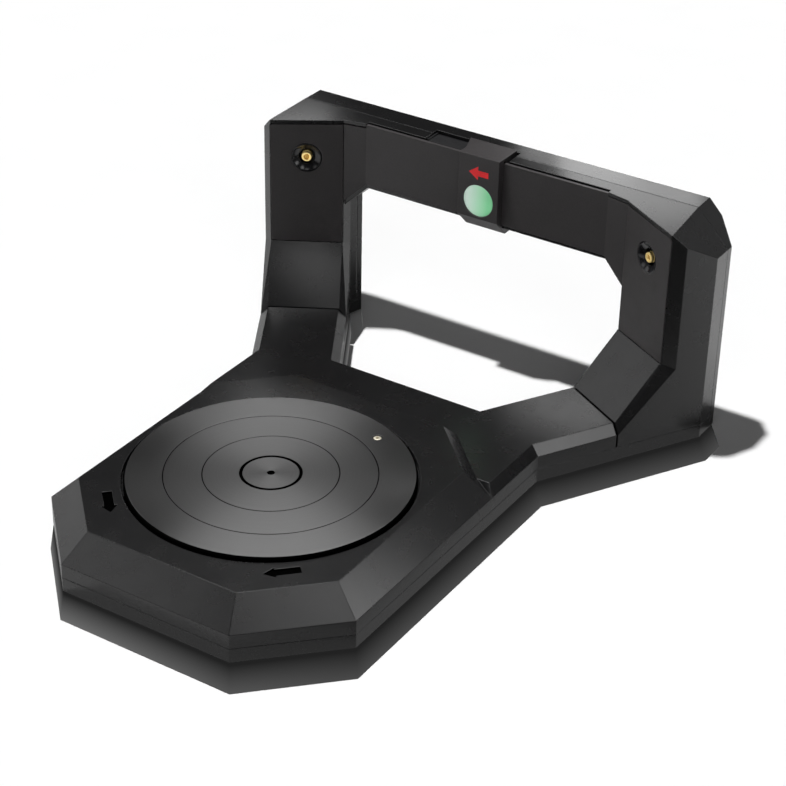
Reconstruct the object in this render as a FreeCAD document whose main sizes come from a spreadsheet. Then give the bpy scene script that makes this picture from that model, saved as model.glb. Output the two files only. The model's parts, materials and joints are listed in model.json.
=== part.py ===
import FreeCAD, Part
import os
import re
import Sketcher

# Desktop 3-D scanner: a turntable base whose two arms carry an arch with two lasers and a camera.
# Everything is drawn about the turntable's axis, with z = 0 at the bottom edge of the bottom shell.
# Plan outlines are given as straight lines, each by the direction of its normal and its distance
# from the turntable's axis, and a corner is where two neighbouring lines cross.

doc = FreeCAD.newDocument("Scanner")
sheet = doc.addObject("Spreadsheet::Sheet", "Sizes")

sizes = {
    # turntable
    "discRadius": 101.6,
    "discProud": 2.7,
    "discThick": 6.1,
    "discEdge": 1.5,
    "recessGap": 1.7,
    "discLift": 0.6,
    "capRadius": 19.7,
    "capThick": 2.6,
    "capGroove": 2.3,
    "capHole": 2.7,
    "outerRing": 74.5,
    "innerRing": 47.5,
    "ringWidth": 1.0,
    "ringDepth": 0.7,
    "insertRadius": 3.4,
    "insertReach": 87.2,
    "insertTurn": 65.8,
    "insertBore": 1.5,
    "insertThick": 4,
    "insertSkin": 1,
    # plan of the base, as margins round the disc
    "frontMargin": 40.9,
    "cornerMargin": 47.8,
    "sideMargin": 25.4,
    "neckMargin": 75.6,
    "platformMargin": 40,
    "rearCornerMargin": 49.6,
    "platformRun": 19.2,
    "neckRun": 6.2,
    "neckStart": 86,
    "armTilt": 30,
    "armHalf": 34.2,
    "jointGap": 1.6,
    # heights of the base above the bottom edge of the bottom shell
    "footHeight": 2.5,
    "seamHeight": 10.7,
    "seamGap": 0.3,
    "wallTop": 21.3,
    "neckTop": 28.8,
    "deckTop": 40,
    "wall": 2.4,
    # arrows cut in the deck
    "arrowMargin": 11.4,
    "arrowStart": -1,
    "arrowLength": 25,
    "arrowHead": 8,
    "arrowHalf": 3.4,
    "arrowHeadHalf": 5.6,
    "arrowDepth": 1.6,
    # turntable drive; the tooth's root, tip and slope are in modules
    "gearPitch": 60,
    "gearTeeth": 120,
    "pinionTeeth": 15,
    "toothRoot": 1.2,
    "toothTip": 0.9,
    "toothSlope": 0.42,
    "toothBacklash": 0.12,
    "toothSink": 0.6,
    "gearThick": 6,
    "gearHeadroom": 5.6,
    "gearClear": 0.5,
    "pinionThick": 8,
    "pinionDrop": 1,
    "hubRadius": 12,
    "hubRoom": 2,
    "spindleRadius": 4,
    "spindleRoom": 1,
    "bearingRadius": 11,
    "bearingThick": 7,
    "bearingBottom": 9,
    "bearingLip": 2,
    "motorSide": 42,
    "motorPlate": 1.5,
    "plateLug": 8,
    "lugInset": 5,
    "motorShaft": 2.5,
    "shaftCollar": 7.5,
    "padCount": 6,
    "padRadius": 4,
    "padInset": 11.6,
    # arch frame: the front starts where the arms' outer sides meet the frame's sides
    "frameHalf": 197.5,
    "beamStep": 3.12,
    "frontDepth": 13.8,
    "coverDepth": 19,
    "beamFold": 3.8,
    "panelInset": 37.764,
    "footLength": 36,
    "panelHalf": 28.5,
    "panelBack": 10.4,
    "footRise": 70,
    "bevelSlope": 0.967,
    "roofTop": 177,
    "roofFront": 174,
    "roofRun": 47.6,
    "beamHeight": 53,
    "postWidth": 73,
    "cornerRun": 18.8,
    "cornerDrop": 18,
    "browDrop": 3.6,
    "flareAngle": 197.7,
    "flareLead": 6.77,
    "rearBevelAngle": 51,
    "rearBevelCut": 9.695,
    "innerBevelAngle": 144.7,
    "innerBevelRun": 6.366,
    "crownAngle": 44.1,
    "crownCut": 18.706,
    # front panels, set in the frame: the roof's lip runs over them, and leaves a groove along the beam
    "panelThick": 2.5,
    "lipFace": 2.7,
    "lipSlit": 0.9,
    "grooveWidth": 1.2,
    "grooveDepth": 5,
    # lasers
    "laserRise": 19.2,
    "bezelRadius": 12.2,
    "bezelDepth": 9,
    "bezelCone": 10.6,
    "bezelDish": 2.5,
    "bezelThroat": 6.6,
    "bezelRim": 1.5,
    "barrelRadius": 4.1,
    "barrelBack": 1.2,
    "barrelLength": 30,
    "barrelEdge": 0.5,
    "barrelMouth": 3,
    "lensRadius": 1.9,
    "lensThick": 1.3,
    "lensGap": 0.1,
    "holderSide": 24,
    "holderDepth": 16,
    "fit": 0.05,
    "clearance": 0.3,
    # camera and its filter slider
    "cameraRise": 18,
    "cameraRadius": 8,
    "cameraCollar": 2,
    "cameraLength": 16,
    "cameraMouth": 4,
    "cameraLens": 5.5,
    "cameraLensThick": 1.9,
    "cameraDome": 0.3,
    "bracketHalf": 24,
    "bracketRise": 14,
    "bracketThick": 3,
    "cameraBoard": 38,
    "cameraBoardTall": 26,
    "sensorHalf": 7,
    "sensorRise": 5,
    "boardThick": 1.6,
    "chipThick": 1.8,
    "sliderHalf": 17.5,
    "sliderThick": 6.5,
    "sliderProud": 2,
    "sliderChin": 3.5,
    "sliderBelow": 10,
    "sliderUnder": 13.5,
    "sliderHook": 6.5,
    "sliderWing": 6,
    "sliderTravel": 28,
    "slotMargin": 2.5,
    "slotBehind": 6.4,
    "slotPlay": 0.5,
    "slotDepth": 3,
    "trackThick": 2.4,
    "trackStop": 1.5,
    "trackMargin": 3,
    "filterRadius": 13,
    "filterLedge": 1.5,
    "filterThick": 2,
    "filterSink": 1,
    # main board, sockets and power button in the rear wall of the neck
    "boardWidth": 80,
    "boardDepth": 62,
    "boardInset": 5.2,
    "boardLift": 6,
    "boardHoleInset": 6,
    "boardHoleFront": 5,
    "standoffRadius": 3,
    "chipSide": 18,
    "chipLeft": 10,
    "chipFront": 14,
    "smallChipX": 16,
    "smallChipLong": 12,
    "smallChipWide": 8,
    "capacitorX": 24,
    "capacitorRadius": 4,
    "capacitorTall": 9,
    "coilX": 18,
    "coilSide": 14,
    "coilFront": 26,
    "coilTall": 4,
    "socketWidth": 12,
    "socketDepth": 16,
    "socketTall": 9.4,
    "socketApart": 22,
    "socketMouth": 11,
    "socketRim": 1.6,
    "socketSill": 1.2,
    "socketLeg": 5,
    "socketLegInset": 2,
    "tongueHalf": 2.6,
    "tongueThick": 3,
    "plugHole": 3.2,
    "plugPin": 1,
    "buttonRadius": 4.2,
    "buttonDrop": 5.4,
    "buttonLength": 9,
    "buttonProud": 1.8,
    "buttonTravel": 1.5,
    "buttonFlange": 1,
    "flangeThick": 1.6,
    "switchHalf": 5,
    "switchLong": 8,
    "switchRise": 4,
    "switchPin": 1.6,
    "switchPinLong": 2.6,
    # feet and screws
    "footRadius": 8,
    "footSeat": 1,
    "footHalf": 60,
    "footInset": 16,
    "footRear": 100,
    "rearFootInset": 24,
    "rearFootFront": 32,
    "bossRadius": 4,
    "bossInset": 14,
    "bossFront": 62,
    "bossRear": 122,
    "boardBossRoom": 2,
    "boardBossFront": 56,
    "frameBossBack": 24,
    "frameBossRoom": 2,
    "frameBossTall": 16,
    "screwRadius": 1.5,
    "screwHead": 2.8,
    "headThick": 1.6,
    "headSink": 0.4,
    "coverHeadThick": 2.2,
    "screwLength": 14,
    "pilotRoom": 2.3,
    "screwBite": 5,
    "biteRoom": 1,
    "coverBite": 8,
    "coverBiteRoom": 0.5,
    "coverScrewInset": 32,
    "coverScrewLow": 48,
    "coverScrewHigh": 108,
    "beamScrewHalf": 62,
    "beamScrewRise": 26,
    # how far a cut runs past the face that it starts from
    "past": 1,
    "farPast": 20,
}

# reaches and heights that follow from the sizes above
derived = {
    "frontReach": "discRadius + frontMargin",
    "cornerReach": "discRadius + cornerMargin",
    "sideReach": "discRadius + sideMargin",
    "neckReach": "discRadius + neckMargin",
    "platformReach": "discRadius + platformMargin",
    "rearCornerReach": "discRadius + rearCornerMargin",
    "arrowReach": "discRadius + arrowMargin",
    "padReach": "discRadius - padInset",
    "frameReach": "(frameHalf * cos(armTilt) - armHalf) / sin(armTilt)",
    "beamFront": "frameReach + beamStep",
    "seamReach": "beamFront + frontDepth",
    "rearReach": "seamReach + coverDepth",
    "facetReach": "beamFront - beamFold",
    "panelReach": "(frameHalf - armHalf * cos(armTilt)) / sin(armTilt) - panelInset",
    "gapReach": "panelReach - footLength",
    "openingHalf": "frameHalf - postWidth",
    "openingTopHalf": "openingHalf - cornerRun",
    "openingTop": "roofTop - beamHeight",
    "openingShoulder": "openingTop - cornerDrop",
    "browLow": "openingShoulder - wall - browDrop",
    "lipLow": "roofTop - (roofTop - roofFront) / roofRun * frontDepth - lipFace",
    "flareReach": "cos(flareAngle) * openingHalf + sin(flareAngle) * (seamReach - flareLead)",
    "rearBevelReach": "cos(rearBevelAngle) * frameHalf + sin(rearBevelAngle) * rearReach - rearBevelCut",
    "innerBevelReach": "cos(innerBevelAngle) * (openingHalf + innerBevelRun) + sin(innerBevelAngle) * rearReach",
    "crownReach": "cos(crownAngle) * frameHalf + sin(crownAngle) * roofTop - crownCut",
    "discTop": "deckTop + discProud",
    "discBottom": "discTop - discThick",
    "recessFloor": "discBottom - discLift",
    "seamLow": "seamHeight - seamGap / 2",
    "seamHigh": "seamHeight + seamGap / 2",
    "seamFront": "seamReach - seamGap / 2",
    "seamRear": "seamReach + seamGap / 2",
    "gearBottom": "recessFloor - wall - gearThick - gearHeadroom",
    "gearModule": "2 * gearPitch / gearTeeth",
    "toothHalf": "gearModule * pi / 4 - toothBacklash",
    "motorY": "gearPitch * (1 + pinionTeeth / gearTeeth)",
    "motorTop": "gearBottom - motorPlate - headThick - gearClear",
    "footNear": "gapReach + jointGap / 2",
    "footRun": "panelReach - footNear",
    "footSlope": "(footRise - neckTop) / footRun",
    "laserHeight": "openingTop + laserRise",
    "cameraHeight": "openingTop + cameraRise",
    "sliderTop": "roofTop + sliderProud",
    "sliderLow": "openingTop + sliderChin",
    "slotRight": "sliderHalf + slotMargin",
    "slotLeft": "sliderHalf + sliderWing + sliderTravel + slotMargin",
    "slotRear": "seamReach + slotBehind",
    "slotFloor": "roofTop - slotDepth",
    "sliderTail": "slotRear - slotPlay",
    "boardBack": "neckReach - boardInset",
    "boardFront": "boardBack - boardDepth",
    "boardTop": "boardLift + boardThick",
    "buttonHeight": "wallTop - buttonDrop",
    "buttonRest": "neckReach + buttonProud - buttonLength",
    "socketMiddle": "seamHigh + socketTall / 2",
    "pilotTop": "wall + screwLength + pilotRoom",
    "boardBossHalf": "boardWidth / 2 + bossRadius + boardBossRoom",
    "beamScrewHeight": "openingTop + beamScrewRise",
    "coverHeadSeat": "rearReach - headSink - coverHeadThick",
}

for row, (name, value) in enumerate(sizes.items(), start=1):
    sheet.set("A%d" % row, name)
    sheet.set("B%d" % row, str(value))
    sheet.setAlias("B%d" % row, name)
for row, (name, formula) in enumerate(derived.items(), start=len(sizes) + 1):
    sheet.set("A%d" % row, name)
    sheet.set("B%d" % row, "=" + formula)
    sheet.setAlias("B%d" % row, name)
doc.recompute()


# ---------------------------------------------------------------- helpers
def bound(text):
    # names in a formula are aliases of the sheet, unless they are functions or the unit deg
    return re.sub(r"\b(?!deg\b)[A-Za-z]\w*\b(?!\()", lambda found: "Sizes." + found.group(), str(text))


def number(text):
    return float(sheet.evalExpression(bound(text)))


def bind(thing, prop, text):
    thing.setExpression(prop, bound(text))


def newBody(label, placed=True):
    body = doc.addObject("PartDesign::Body", label)
    body.Label = label
    if placed:
        place(body)
    return body


def place(thing):
    # the frame's origin lies under the middle of the whole scanner, at the feet
    bind(thing, "Placement.Base.y", "(frontReach - rearReach) / 2")
    bind(thing, "Placement.Base.z", "footHeight")


def sketchOn(body, role, offset):
    plane = next(one for one in body.Origin.OriginFeatures if one.Role == role)
    sketch = body.newObject("Sketcher::SketchObject", "sketch")
    sketch.AttachmentSupport = [(plane, "")]
    sketch.MapMode = "FlatFace"
    bind(sketch, "AttachmentOffset.Base.z", offset)
    return sketch


def addPolygon(sketch, points):
    first = sketch.GeometryCount
    spots = [FreeCAD.Vector(number(x), number(y), 0) for x, y in points]
    count = len(points)
    for index in range(count):
        sketch.addGeometry(Part.LineSegment(spots[index], spots[(index + 1) % count]))
    for index in range(count):
        following = first + (index + 1) % count
        sketch.addConstraint(Sketcher.Constraint("Coincident", first + index, 2, following, 1))
    for index, (x, y) in enumerate(points):
        for kind, text, value in (("DistanceX", x, spots[index].x), ("DistanceY", y, spots[index].y)):
            made = sketch.addConstraint(Sketcher.Constraint(kind, -1, 1, first + index, 1, value))
            bind(sketch, "Constraints[%d]" % made, text)


def addCircle(sketch, x, y, radius):
    spot = FreeCAD.Vector(number(x), number(y), 0)
    index = sketch.addGeometry(Part.Circle(spot, FreeCAD.Vector(0, 0, 1), number(radius)))
    for kind, text, value in (("DistanceX", x, spot.x), ("DistanceY", y, spot.y)):
        made = sketch.addConstraint(Sketcher.Constraint(kind, -1, 1, index, 3, value))
        bind(sketch, "Constraints[%d]" % made, text)
    made = sketch.addConstraint(Sketcher.Constraint("Radius", index, number(radius)))
    bind(sketch, "Constraints[%d]" % made, radius)


# Each shape is a list of (x, y) corners or one (x, y, radius) circle. A pad or a pocket fills the
# stretch from low to high along the axis that is normal to its plane.
def extrude(body, kind, role, shapes, low, high, taper=None):
    reach = {"XY_Plane": high, "XZ_Plane": "-(%s)" % low, "YZ_Plane": high}[role]
    if kind == "Pad":
        reach = {"XY_Plane": low, "XZ_Plane": "-(%s)" % high, "YZ_Plane": low}[role]
    sketch = sketchOn(body, role, reach)
    for shape in shapes:
        if isinstance(shape, tuple):
            addCircle(sketch, *shape)
        else:
            addPolygon(sketch, shape)
    feature = body.newObject("PartDesign::" + kind, kind)
    feature.Profile = sketch
    bind(feature, "Length", "(%s) - (%s)" % (high, low))
    if taper is not None:
        bind(feature, "TaperAngle", taper)
    return feature


def pad(body, shapes, low, high, role="XY_Plane", taper=None):
    return extrude(body, "Pad", role, shapes, low, high, taper)


def pocket(body, shapes, low, high, role="XY_Plane"):
    return extrude(body, "Pocket", role, shapes, low, high)


def box(x0, y0, x1, y1):
    return [(x0, y0), (x1, y0), (x1, y1), (x0, y1)]


def revolve(body, kind, sketch, axis):
    feature = body.newObject("PartDesign::" + kind, kind)
    feature.Profile = sketch
    feature.ReferenceAxis = (sketch, [axis])
    feature.Angle = 360
    return feature


def roundArray(body, first, count):
    ring = body.newObject("PartDesign::PolarPattern", "PolarPattern")
    ring.Originals = [first]
    ring.Axis = (first.Profile[0], ["N_Axis"])
    ring.Angle = 360
    bind(ring, "Occurrences", count)
    body.Tip = ring


def crossing(first, second, inset):
    (angleA, reachA), (angleB, reachB) = first, second
    wide = "sin((%s) - (%s))" % (angleB, angleA)
    reachA = "((%s) - (%s))" % (reachA, inset)
    reachB = "((%s) - (%s))" % (reachB, inset)
    x = "(%s * sin(%s) - %s * sin(%s)) / %s" % (reachA, angleB, reachB, angleA, wide)
    y = "(%s * cos(%s) - %s * cos(%s)) / %s" % (reachB, angleA, reachA, angleB, wide)
    return x, y


def outline(lines, inset="0"):
    count = len(lines)
    return [crossing(lines[index], lines[(index + 1) % count], inset) for index in range(count)]


def mirrored(lines):
    return [("180 - (%s)" % angle, reach) for angle, reach in reversed(lines)]


def boolean(kind, label, parts, placed=True):
    made = doc.addObject("Part::" + kind, label)
    made.Label = label
    if kind == "Cut":
        made.Base, made.Tool = parts
    else:
        made.Shapes = parts
    if placed:
        place(made)
    return made


def mirrorOf(source, label, placed=True):
    made = doc.addObject("Part::Mirroring", label)
    made.Label = label
    made.Source = source
    made.Normal = (1, 0, 0)
    if placed:
        place(made)
    return made


subParts = []


def keep(made):
    subParts.append(made)
    return made


# ---------------------------------------------------------------- outlines in plan, right half
frontLine = ("-90", "frontReach")
cornerLine = ("-45", "cornerReach")
sideLine = ("0", "sideReach")
armOuter = ("-armTilt", "armHalf")
armInner = ("180 - armTilt", "armHalf")
neckLine = ("90", "neckReach")
frameSide = ("0", "frameHalf")
rearBevel = ("rearBevelAngle", "rearBevelReach")
rearLine = ("90", "rearReach")
innerBevel = ("innerBevelAngle", "innerBevelReach")
innerFlare = ("flareAngle", "flareReach")
armEnd = ("90 - armTilt", "gapReach - jointGap / 2")
armFar = ("90 - armTilt", "gapReach + 3 * neckRun")
panelEdge = ("180", "-openingHalf")
bevelTurn = "(atan((armHalf - panelHalf) / panelBack) / 1 deg)"
panelBevel = ("-armTilt - " + bevelTurn,
              "armHalf * cos(%s) - (panelReach + panelBack) * sin(%s)" % (bevelTurn, bevelTurn))

footprint = [frontLine, cornerLine, sideLine, armOuter, frameSide, rearBevel, rearLine, innerBevel,
             innerFlare, armInner, neckLine]
topPlan = [frontLine, cornerLine, sideLine, armOuter, armEnd, armInner, neckLine]
neckPlan = [("-90", "-neckStart"), sideLine, armOuter, armFar, armInner, neckLine]
platformPlan = [frontLine, cornerLine, sideLine, ("45", "rearCornerReach"), ("90", "platformReach")]


def bothSides(lines):
    # the first and the last line cross the middle, so the mirrored half leaves them out
    return lines + mirrored(lines[1:-1])


def alongArm(reach, across, side=1):
    # a point at a distance along the arm's centre line and another one square to it
    x = "%d * ((%s) * sin(armTilt) + (%s) * cos(armTilt))" % (side, reach, across)
    y = "(%s) * cos(armTilt) - (%s) * sin(armTilt)" % (reach, across)
    return x, y


def pair(x, y):
    return [(x, y), ("-(%s)" % x, y)]


bossSpots = (pair("sideReach - bossInset", "-bossFront") + pair("sideReach - bossInset", "bossRear")
             + pair("boardBossHalf", "neckReach - boardBossFront"))
footSpots = (pair("footHalf", "-frontReach + footInset") + pair("sideReach - footInset", "footRear")
             + pair("frameHalf - rearFootInset", "rearReach - rearFootFront"))
frameBosses = [alongArm("panelReach + frameBossBack", "armHalf - wall - frameBossRoom", side)
               for side in (1, -1)]
coverScrews = (pair("frameHalf - coverScrewInset", "coverScrewLow")
               + pair("frameHalf - coverScrewInset", "coverScrewHigh")
               + pair("beamScrewHalf", "beamScrewHeight"))
seatDepth = "(panelThick + clearance)"
slotBox = box("-slotLeft", "beamFront + panelThick", "slotRight", "slotRear")


# ---------------------------------------------------------------- bottom shell
def bottomShell():
    outer = newBody("bottomShellOuter", placed=False)
    pad(outer, [outline(bothSides(footprint))], "0", "seamLow")
    inner = newBody("bottomShellInner", placed=False)
    pad(inner, [outline(bothSides(footprint), "wall")], "wall", "seamHeight + wall")
    columns = bossSpots + frameBosses
    pocket(inner, [(x, y, "bossRadius") for x, y in columns], "wall", "seamHeight + 2 * wall")
    pocket(inner, [("0", "0", "bearingRadius + 2 * wall")], "wall", "seamHeight + 2 * wall")
    holes = newBody("bottomShellHoles", placed=False)
    pad(holes, [(x, y, "screwRadius + clearance") for x, y in columns], "-wall", "seamHeight + wall")
    pad(holes, [(x, y, "screwHead + clearance") for x, y in columns], "-wall", "wall")
    pad(holes, [("0", "0", "bearingRadius + fit")], "bearingBottom - fit", "seamHeight + wall")
    pad(holes, [("0", "0", "spindleRadius + spindleRoom")], "bearingBottom - bearingLip", "seamHeight")
    seats = newBody("bottomShellSeats", placed=False)
    pad(seats, [(x, y, "footRadius + fit") for x, y in footSpots], "-wall", "footSeat")
    shell = boolean("Cut", "bottomShellHollow", (outer, inner), placed=False)
    cuts = boolean("MultiFuse", "bottomShellCuts", [holes, seats], placed=False)
    keep(boolean("Cut", "base_bottom_shell", (shell, cuts)))


# ---------------------------------------------------------------- top shell
def topForm(name, inset, lift, drop):
    # the same form is made twice: once at full size, and once smaller for the hollow inside it
    form = newBody(name, placed=False)
    pad(form, [outline(bothSides(topPlan), inset)], "seamHigh - %s" % lift, "wallTop")
    pad(form, [outline(bothSides(platformPlan), inset)], "wallTop", "deckTop - %s" % drop,
        taper="-atan(platformRun / (deckTop - wallTop))")
    pad(form, [outline(bothSides(neckPlan), inset)], "wallTop", "neckTop - %s" % drop,
        taper="-atan(neckRun / (neckTop - wallTop))")
    ends = []
    for side in (1, -1):
        near = "gapReach - jointGap / 2 - (%s)" % inset
        far = "gapReach + armHalf"
        ends.append([alongArm(near, "-2 * armHalf", side), alongArm(far, "-2 * armHalf", side),
                     alongArm(far, "2 * armHalf", side), alongArm(near, "2 * armHalf", side)])
    pocket(form, ends, "0", "deckTop")
    return form


def arrowShape(side):
    neck = "arrowStart + arrowLength - arrowHead"
    steps = [("arrowStart", "-arrowHalf"), (neck, "-arrowHalf"), (neck, "-arrowHeadHalf"),
             ("arrowStart + arrowLength", "0"), (neck, "arrowHeadHalf"), (neck, "arrowHalf"),
             ("arrowStart", "arrowHalf")]
    return [("%d * (arrowReach + (%s) - (%s)) / sqrt(2)" % (side, across, along),
             "-(arrowReach + (%s) + (%s)) / sqrt(2)" % (across, along)) for along, across in steps]


def topShell():
    outer = topForm("topShellOuter", "0", "0", "0")
    pocket(outer, [("0", "0", "discRadius + recessGap")], "recessFloor", "deckTop + past")
    pocket(outer, [("0", "0", "hubRadius + hubRoom")], "seamHeight", "deckTop")
    pocket(outer, [arrowShape(1), arrowShape(-1)], "deckTop - arrowDepth", "deckTop + past")
    pocket(outer, [(x, y, "screwRadius + fit") for x, y in bossSpots], "0", "pilotTop")
    sockets = [box("%s - socketWidth / 2 - clearance" % x, "neckReach - 2 * wall",
                   "%s + socketWidth / 2 + clearance" % x, "neckReach + wall")
               for x in ("-socketApart", "0")]
    pocket(outer, sockets, "0", "seamHigh + socketTall + clearance")
    pocket(outer, [("socketApart", "buttonHeight", "buttonRadius + clearance")], "neckReach - 2 * wall",
           "neckReach + wall", role="XZ_Plane")
    inner = topForm("topShellInner", "wall", "wall", "wall")
    pocket(inner, [("0", "0", "discRadius + recessGap + wall")], "recessFloor - wall", "deckTop")
    pocket(inner, [(x, y, "bossRadius") for x, y in bossSpots], "0", "deckTop")
    keep(boolean("Cut", "base_top_shell", (outer, inner)))


# ---------------------------------------------------------------- turntable
def turntable():
    disc = newBody("turntable_disc")
    pad(disc, [("0", "0", "discRadius")], "discBottom", "discTop")
    pocket(disc, [("0", "0", "capRadius + capGroove")], "discTop - capThick", "discTop + past")
    for ring in ("outerRing", "innerRing"):
        sketch = sketchOn(disc, "XZ_Plane", "0")
        low, high = "%s - ringWidth / 2" % ring, "%s + ringWidth / 2" % ring
        addPolygon(sketch, [(low, "discTop + past"), (low, "discTop"), (ring, "discTop - ringDepth"),
                            (high, "discTop"), (high, "discTop + past")])
        disc.Tip = revolve(disc, "Groove", sketch, "V_Axis")
    sketch = sketchOn(disc, "XZ_Plane", "0")
    edge, outside = "discRadius - discEdge", "discRadius + past"
    addPolygon(sketch, [(edge, "discTop"), (edge, "discTop + past"), (outside, "discTop + past"),
                        (outside, "discTop - discEdge"), ("discRadius", "discTop - discEdge")])
    disc.Tip = revolve(disc, "Groove", sketch, "V_Axis")
    spot = ("insertReach * cos(insertTurn)", "insertReach * sin(insertTurn)")
    pocket(disc, [spot + ("insertRadius + fit",)], "discTop - insertThick", "discTop + past")
    keep(disc)

    cap = keep(newBody("turntable_hub_cap"))
    pad(cap, [("0", "0", "capRadius")], "discTop - capThick", "discTop")
    pocket(cap, [("0", "0", "capHole")], "discTop - capThick - past", "discTop + past")

    insert = keep(newBody("turntable_index_insert"))
    pad(insert, [spot + ("insertRadius",)], "discTop - insertThick", "discTop - clearance")
    pocket(insert, [spot + ("insertBore",)], "discTop - insertThick + insertSkin", "discTop + past")

    spindle = keep(newBody("turntable_spindle"))
    sketch = sketchOn(spindle, "XZ_Plane", "0")
    flange = "gearBottom - pinionDrop"
    addPolygon(sketch, [("0", "bearingBottom - bearingLip / 2"),
                        ("spindleRadius", "bearingBottom - bearingLip / 2"),
                        ("spindleRadius", "bearingBottom + bearingThick"),
                        ("hubRadius / 2", "bearingBottom + bearingThick"), ("hubRadius / 2", flange),
                        ("hubRadius + wall", flange), ("hubRadius + wall", "gearBottom"),
                        ("hubRadius", "gearBottom"), ("hubRadius", "discBottom"), ("0", "discBottom")])
    revolve(spindle, "Revolution", sketch, "V_Axis")

    bearing = keep(newBody("spindle_bearing"))
    pad(bearing, [("0", "0", "bearingRadius")], "bearingBottom", "bearingBottom + bearingThick - fit")
    pocket(bearing, [("0", "0", "spindleRadius + fit")], "0", "gearBottom")

    seat = keep(newBody("bearing_seat"))
    pad(seat, [("0", "0", "bearingRadius + 2 * wall")], "seamLow + fit",
        "bearingBottom + bearingThick - bearingLip / 2")
    pocket(seat, [("0", "0", "bearingRadius + fit")], "0", "gearBottom")

    pads = keep(newBody("turntable_glide_pads"))
    first = pad(pads, [("padReach", "0", "padRadius")], "recessFloor", "discBottom - clearance")
    roundArray(pads, first, "padCount")


# A spur gear's tooth: a straight-flanked trapezoid, thinner than its gap by the backlash.
def spurGear(label, teeth, low, high, bore):
    pitch = "(gearModule * %s / 2)" % teeth
    root = "(%s - toothRoot * gearModule)" % pitch
    tip = "(%s + toothTip * gearModule)" % pitch
    wide = "(toothHalf + toothSlope * gearModule)"
    narrow = "(toothHalf - toothSlope * gearModule)"
    gear = keep(newBody(label))
    pad(gear, [("0", "0", root)], low, high)
    tooth = [("%s - toothSink" % root, "-" + wide), (tip, "-" + narrow), (tip, narrow),
             ("%s - toothSink" % root, wide)]
    roundArray(gear, pad(gear, [tooth], low, high), teeth)
    pocket(gear, [("0", "0", bore)], "%s - past" % low, "%s + past" % high)
    return gear


def drive():
    spurGear("turntable_gear", "gearTeeth", "gearBottom", "gearBottom + gearThick", "hubRadius + fit")
    # a whole number of large teeth fits in a quarter turn, so the pinion has a gap facing a tooth
    pinion = spurGear("drive_pinion", "pinionTeeth", "gearBottom - pinionDrop",
                      "gearBottom + pinionThick - pinionDrop", "motorShaft + fit")
    bind(pinion, "Placement.Base.y", "(frontReach - rearReach) / 2 + motorY")
    pinion.Placement.Rotation = FreeCAD.Rotation(FreeCAD.Vector(0, 0, 1), 1)
    bind(pinion, "Placement.Rotation.Angle", "180 / pinionTeeth - 90")

    half = "motorSide / 2"
    near, far = "motorY - motorSide / 2", "motorY + motorSide / 2"
    motor = keep(newBody("drive_motor"))
    pad(motor, [box("-" + half, near, half, far)], "wall", "motorTop")

    shaft = keep(newBody("motor_shaft"))
    pad(shaft, [("0", "motorY", "motorShaft")], "motorTop + fit", "gearBottom + pinionThick")

    plate = keep(newBody("motor_plate"))
    side = "(motorSide / 2 + plateLug)"
    pad(plate, [box("-" + side, near, side, far)], "motorTop", "motorTop + motorPlate")
    pocket(plate, [("0", "motorY", "shaftCollar")], "wall", "gearBottom")
    corners = [("%d * (motorSide + plateLug) / 2" % x, "motorY + %d * (motorSide / 2 - lugInset)" % y)
               for x in (1, -1) for y in (1, -1)]
    pocket(plate, [(x, y, "screwRadius + fit") for x, y in corners], "wall", "gearBottom")

    posts = keep(newBody("motor_standoffs"))
    pad(posts, [(x, y, "standoffRadius") for x, y in corners], "wall", "motorTop")
    pocket(posts, [(x, y, "screwRadius + fit") for x, y in corners], "motorTop - screwBite - biteRoom",
           "motorTop + past")

    screws = keep(newBody("motor_screws"))
    top = "motorTop + motorPlate"
    pad(screws, [(x, y, "screwRadius") for x, y in corners], "motorTop - screwBite", top)
    pad(screws, [(x, y, "screwHead") for x, y in corners], top, top + " + headThick")


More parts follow.
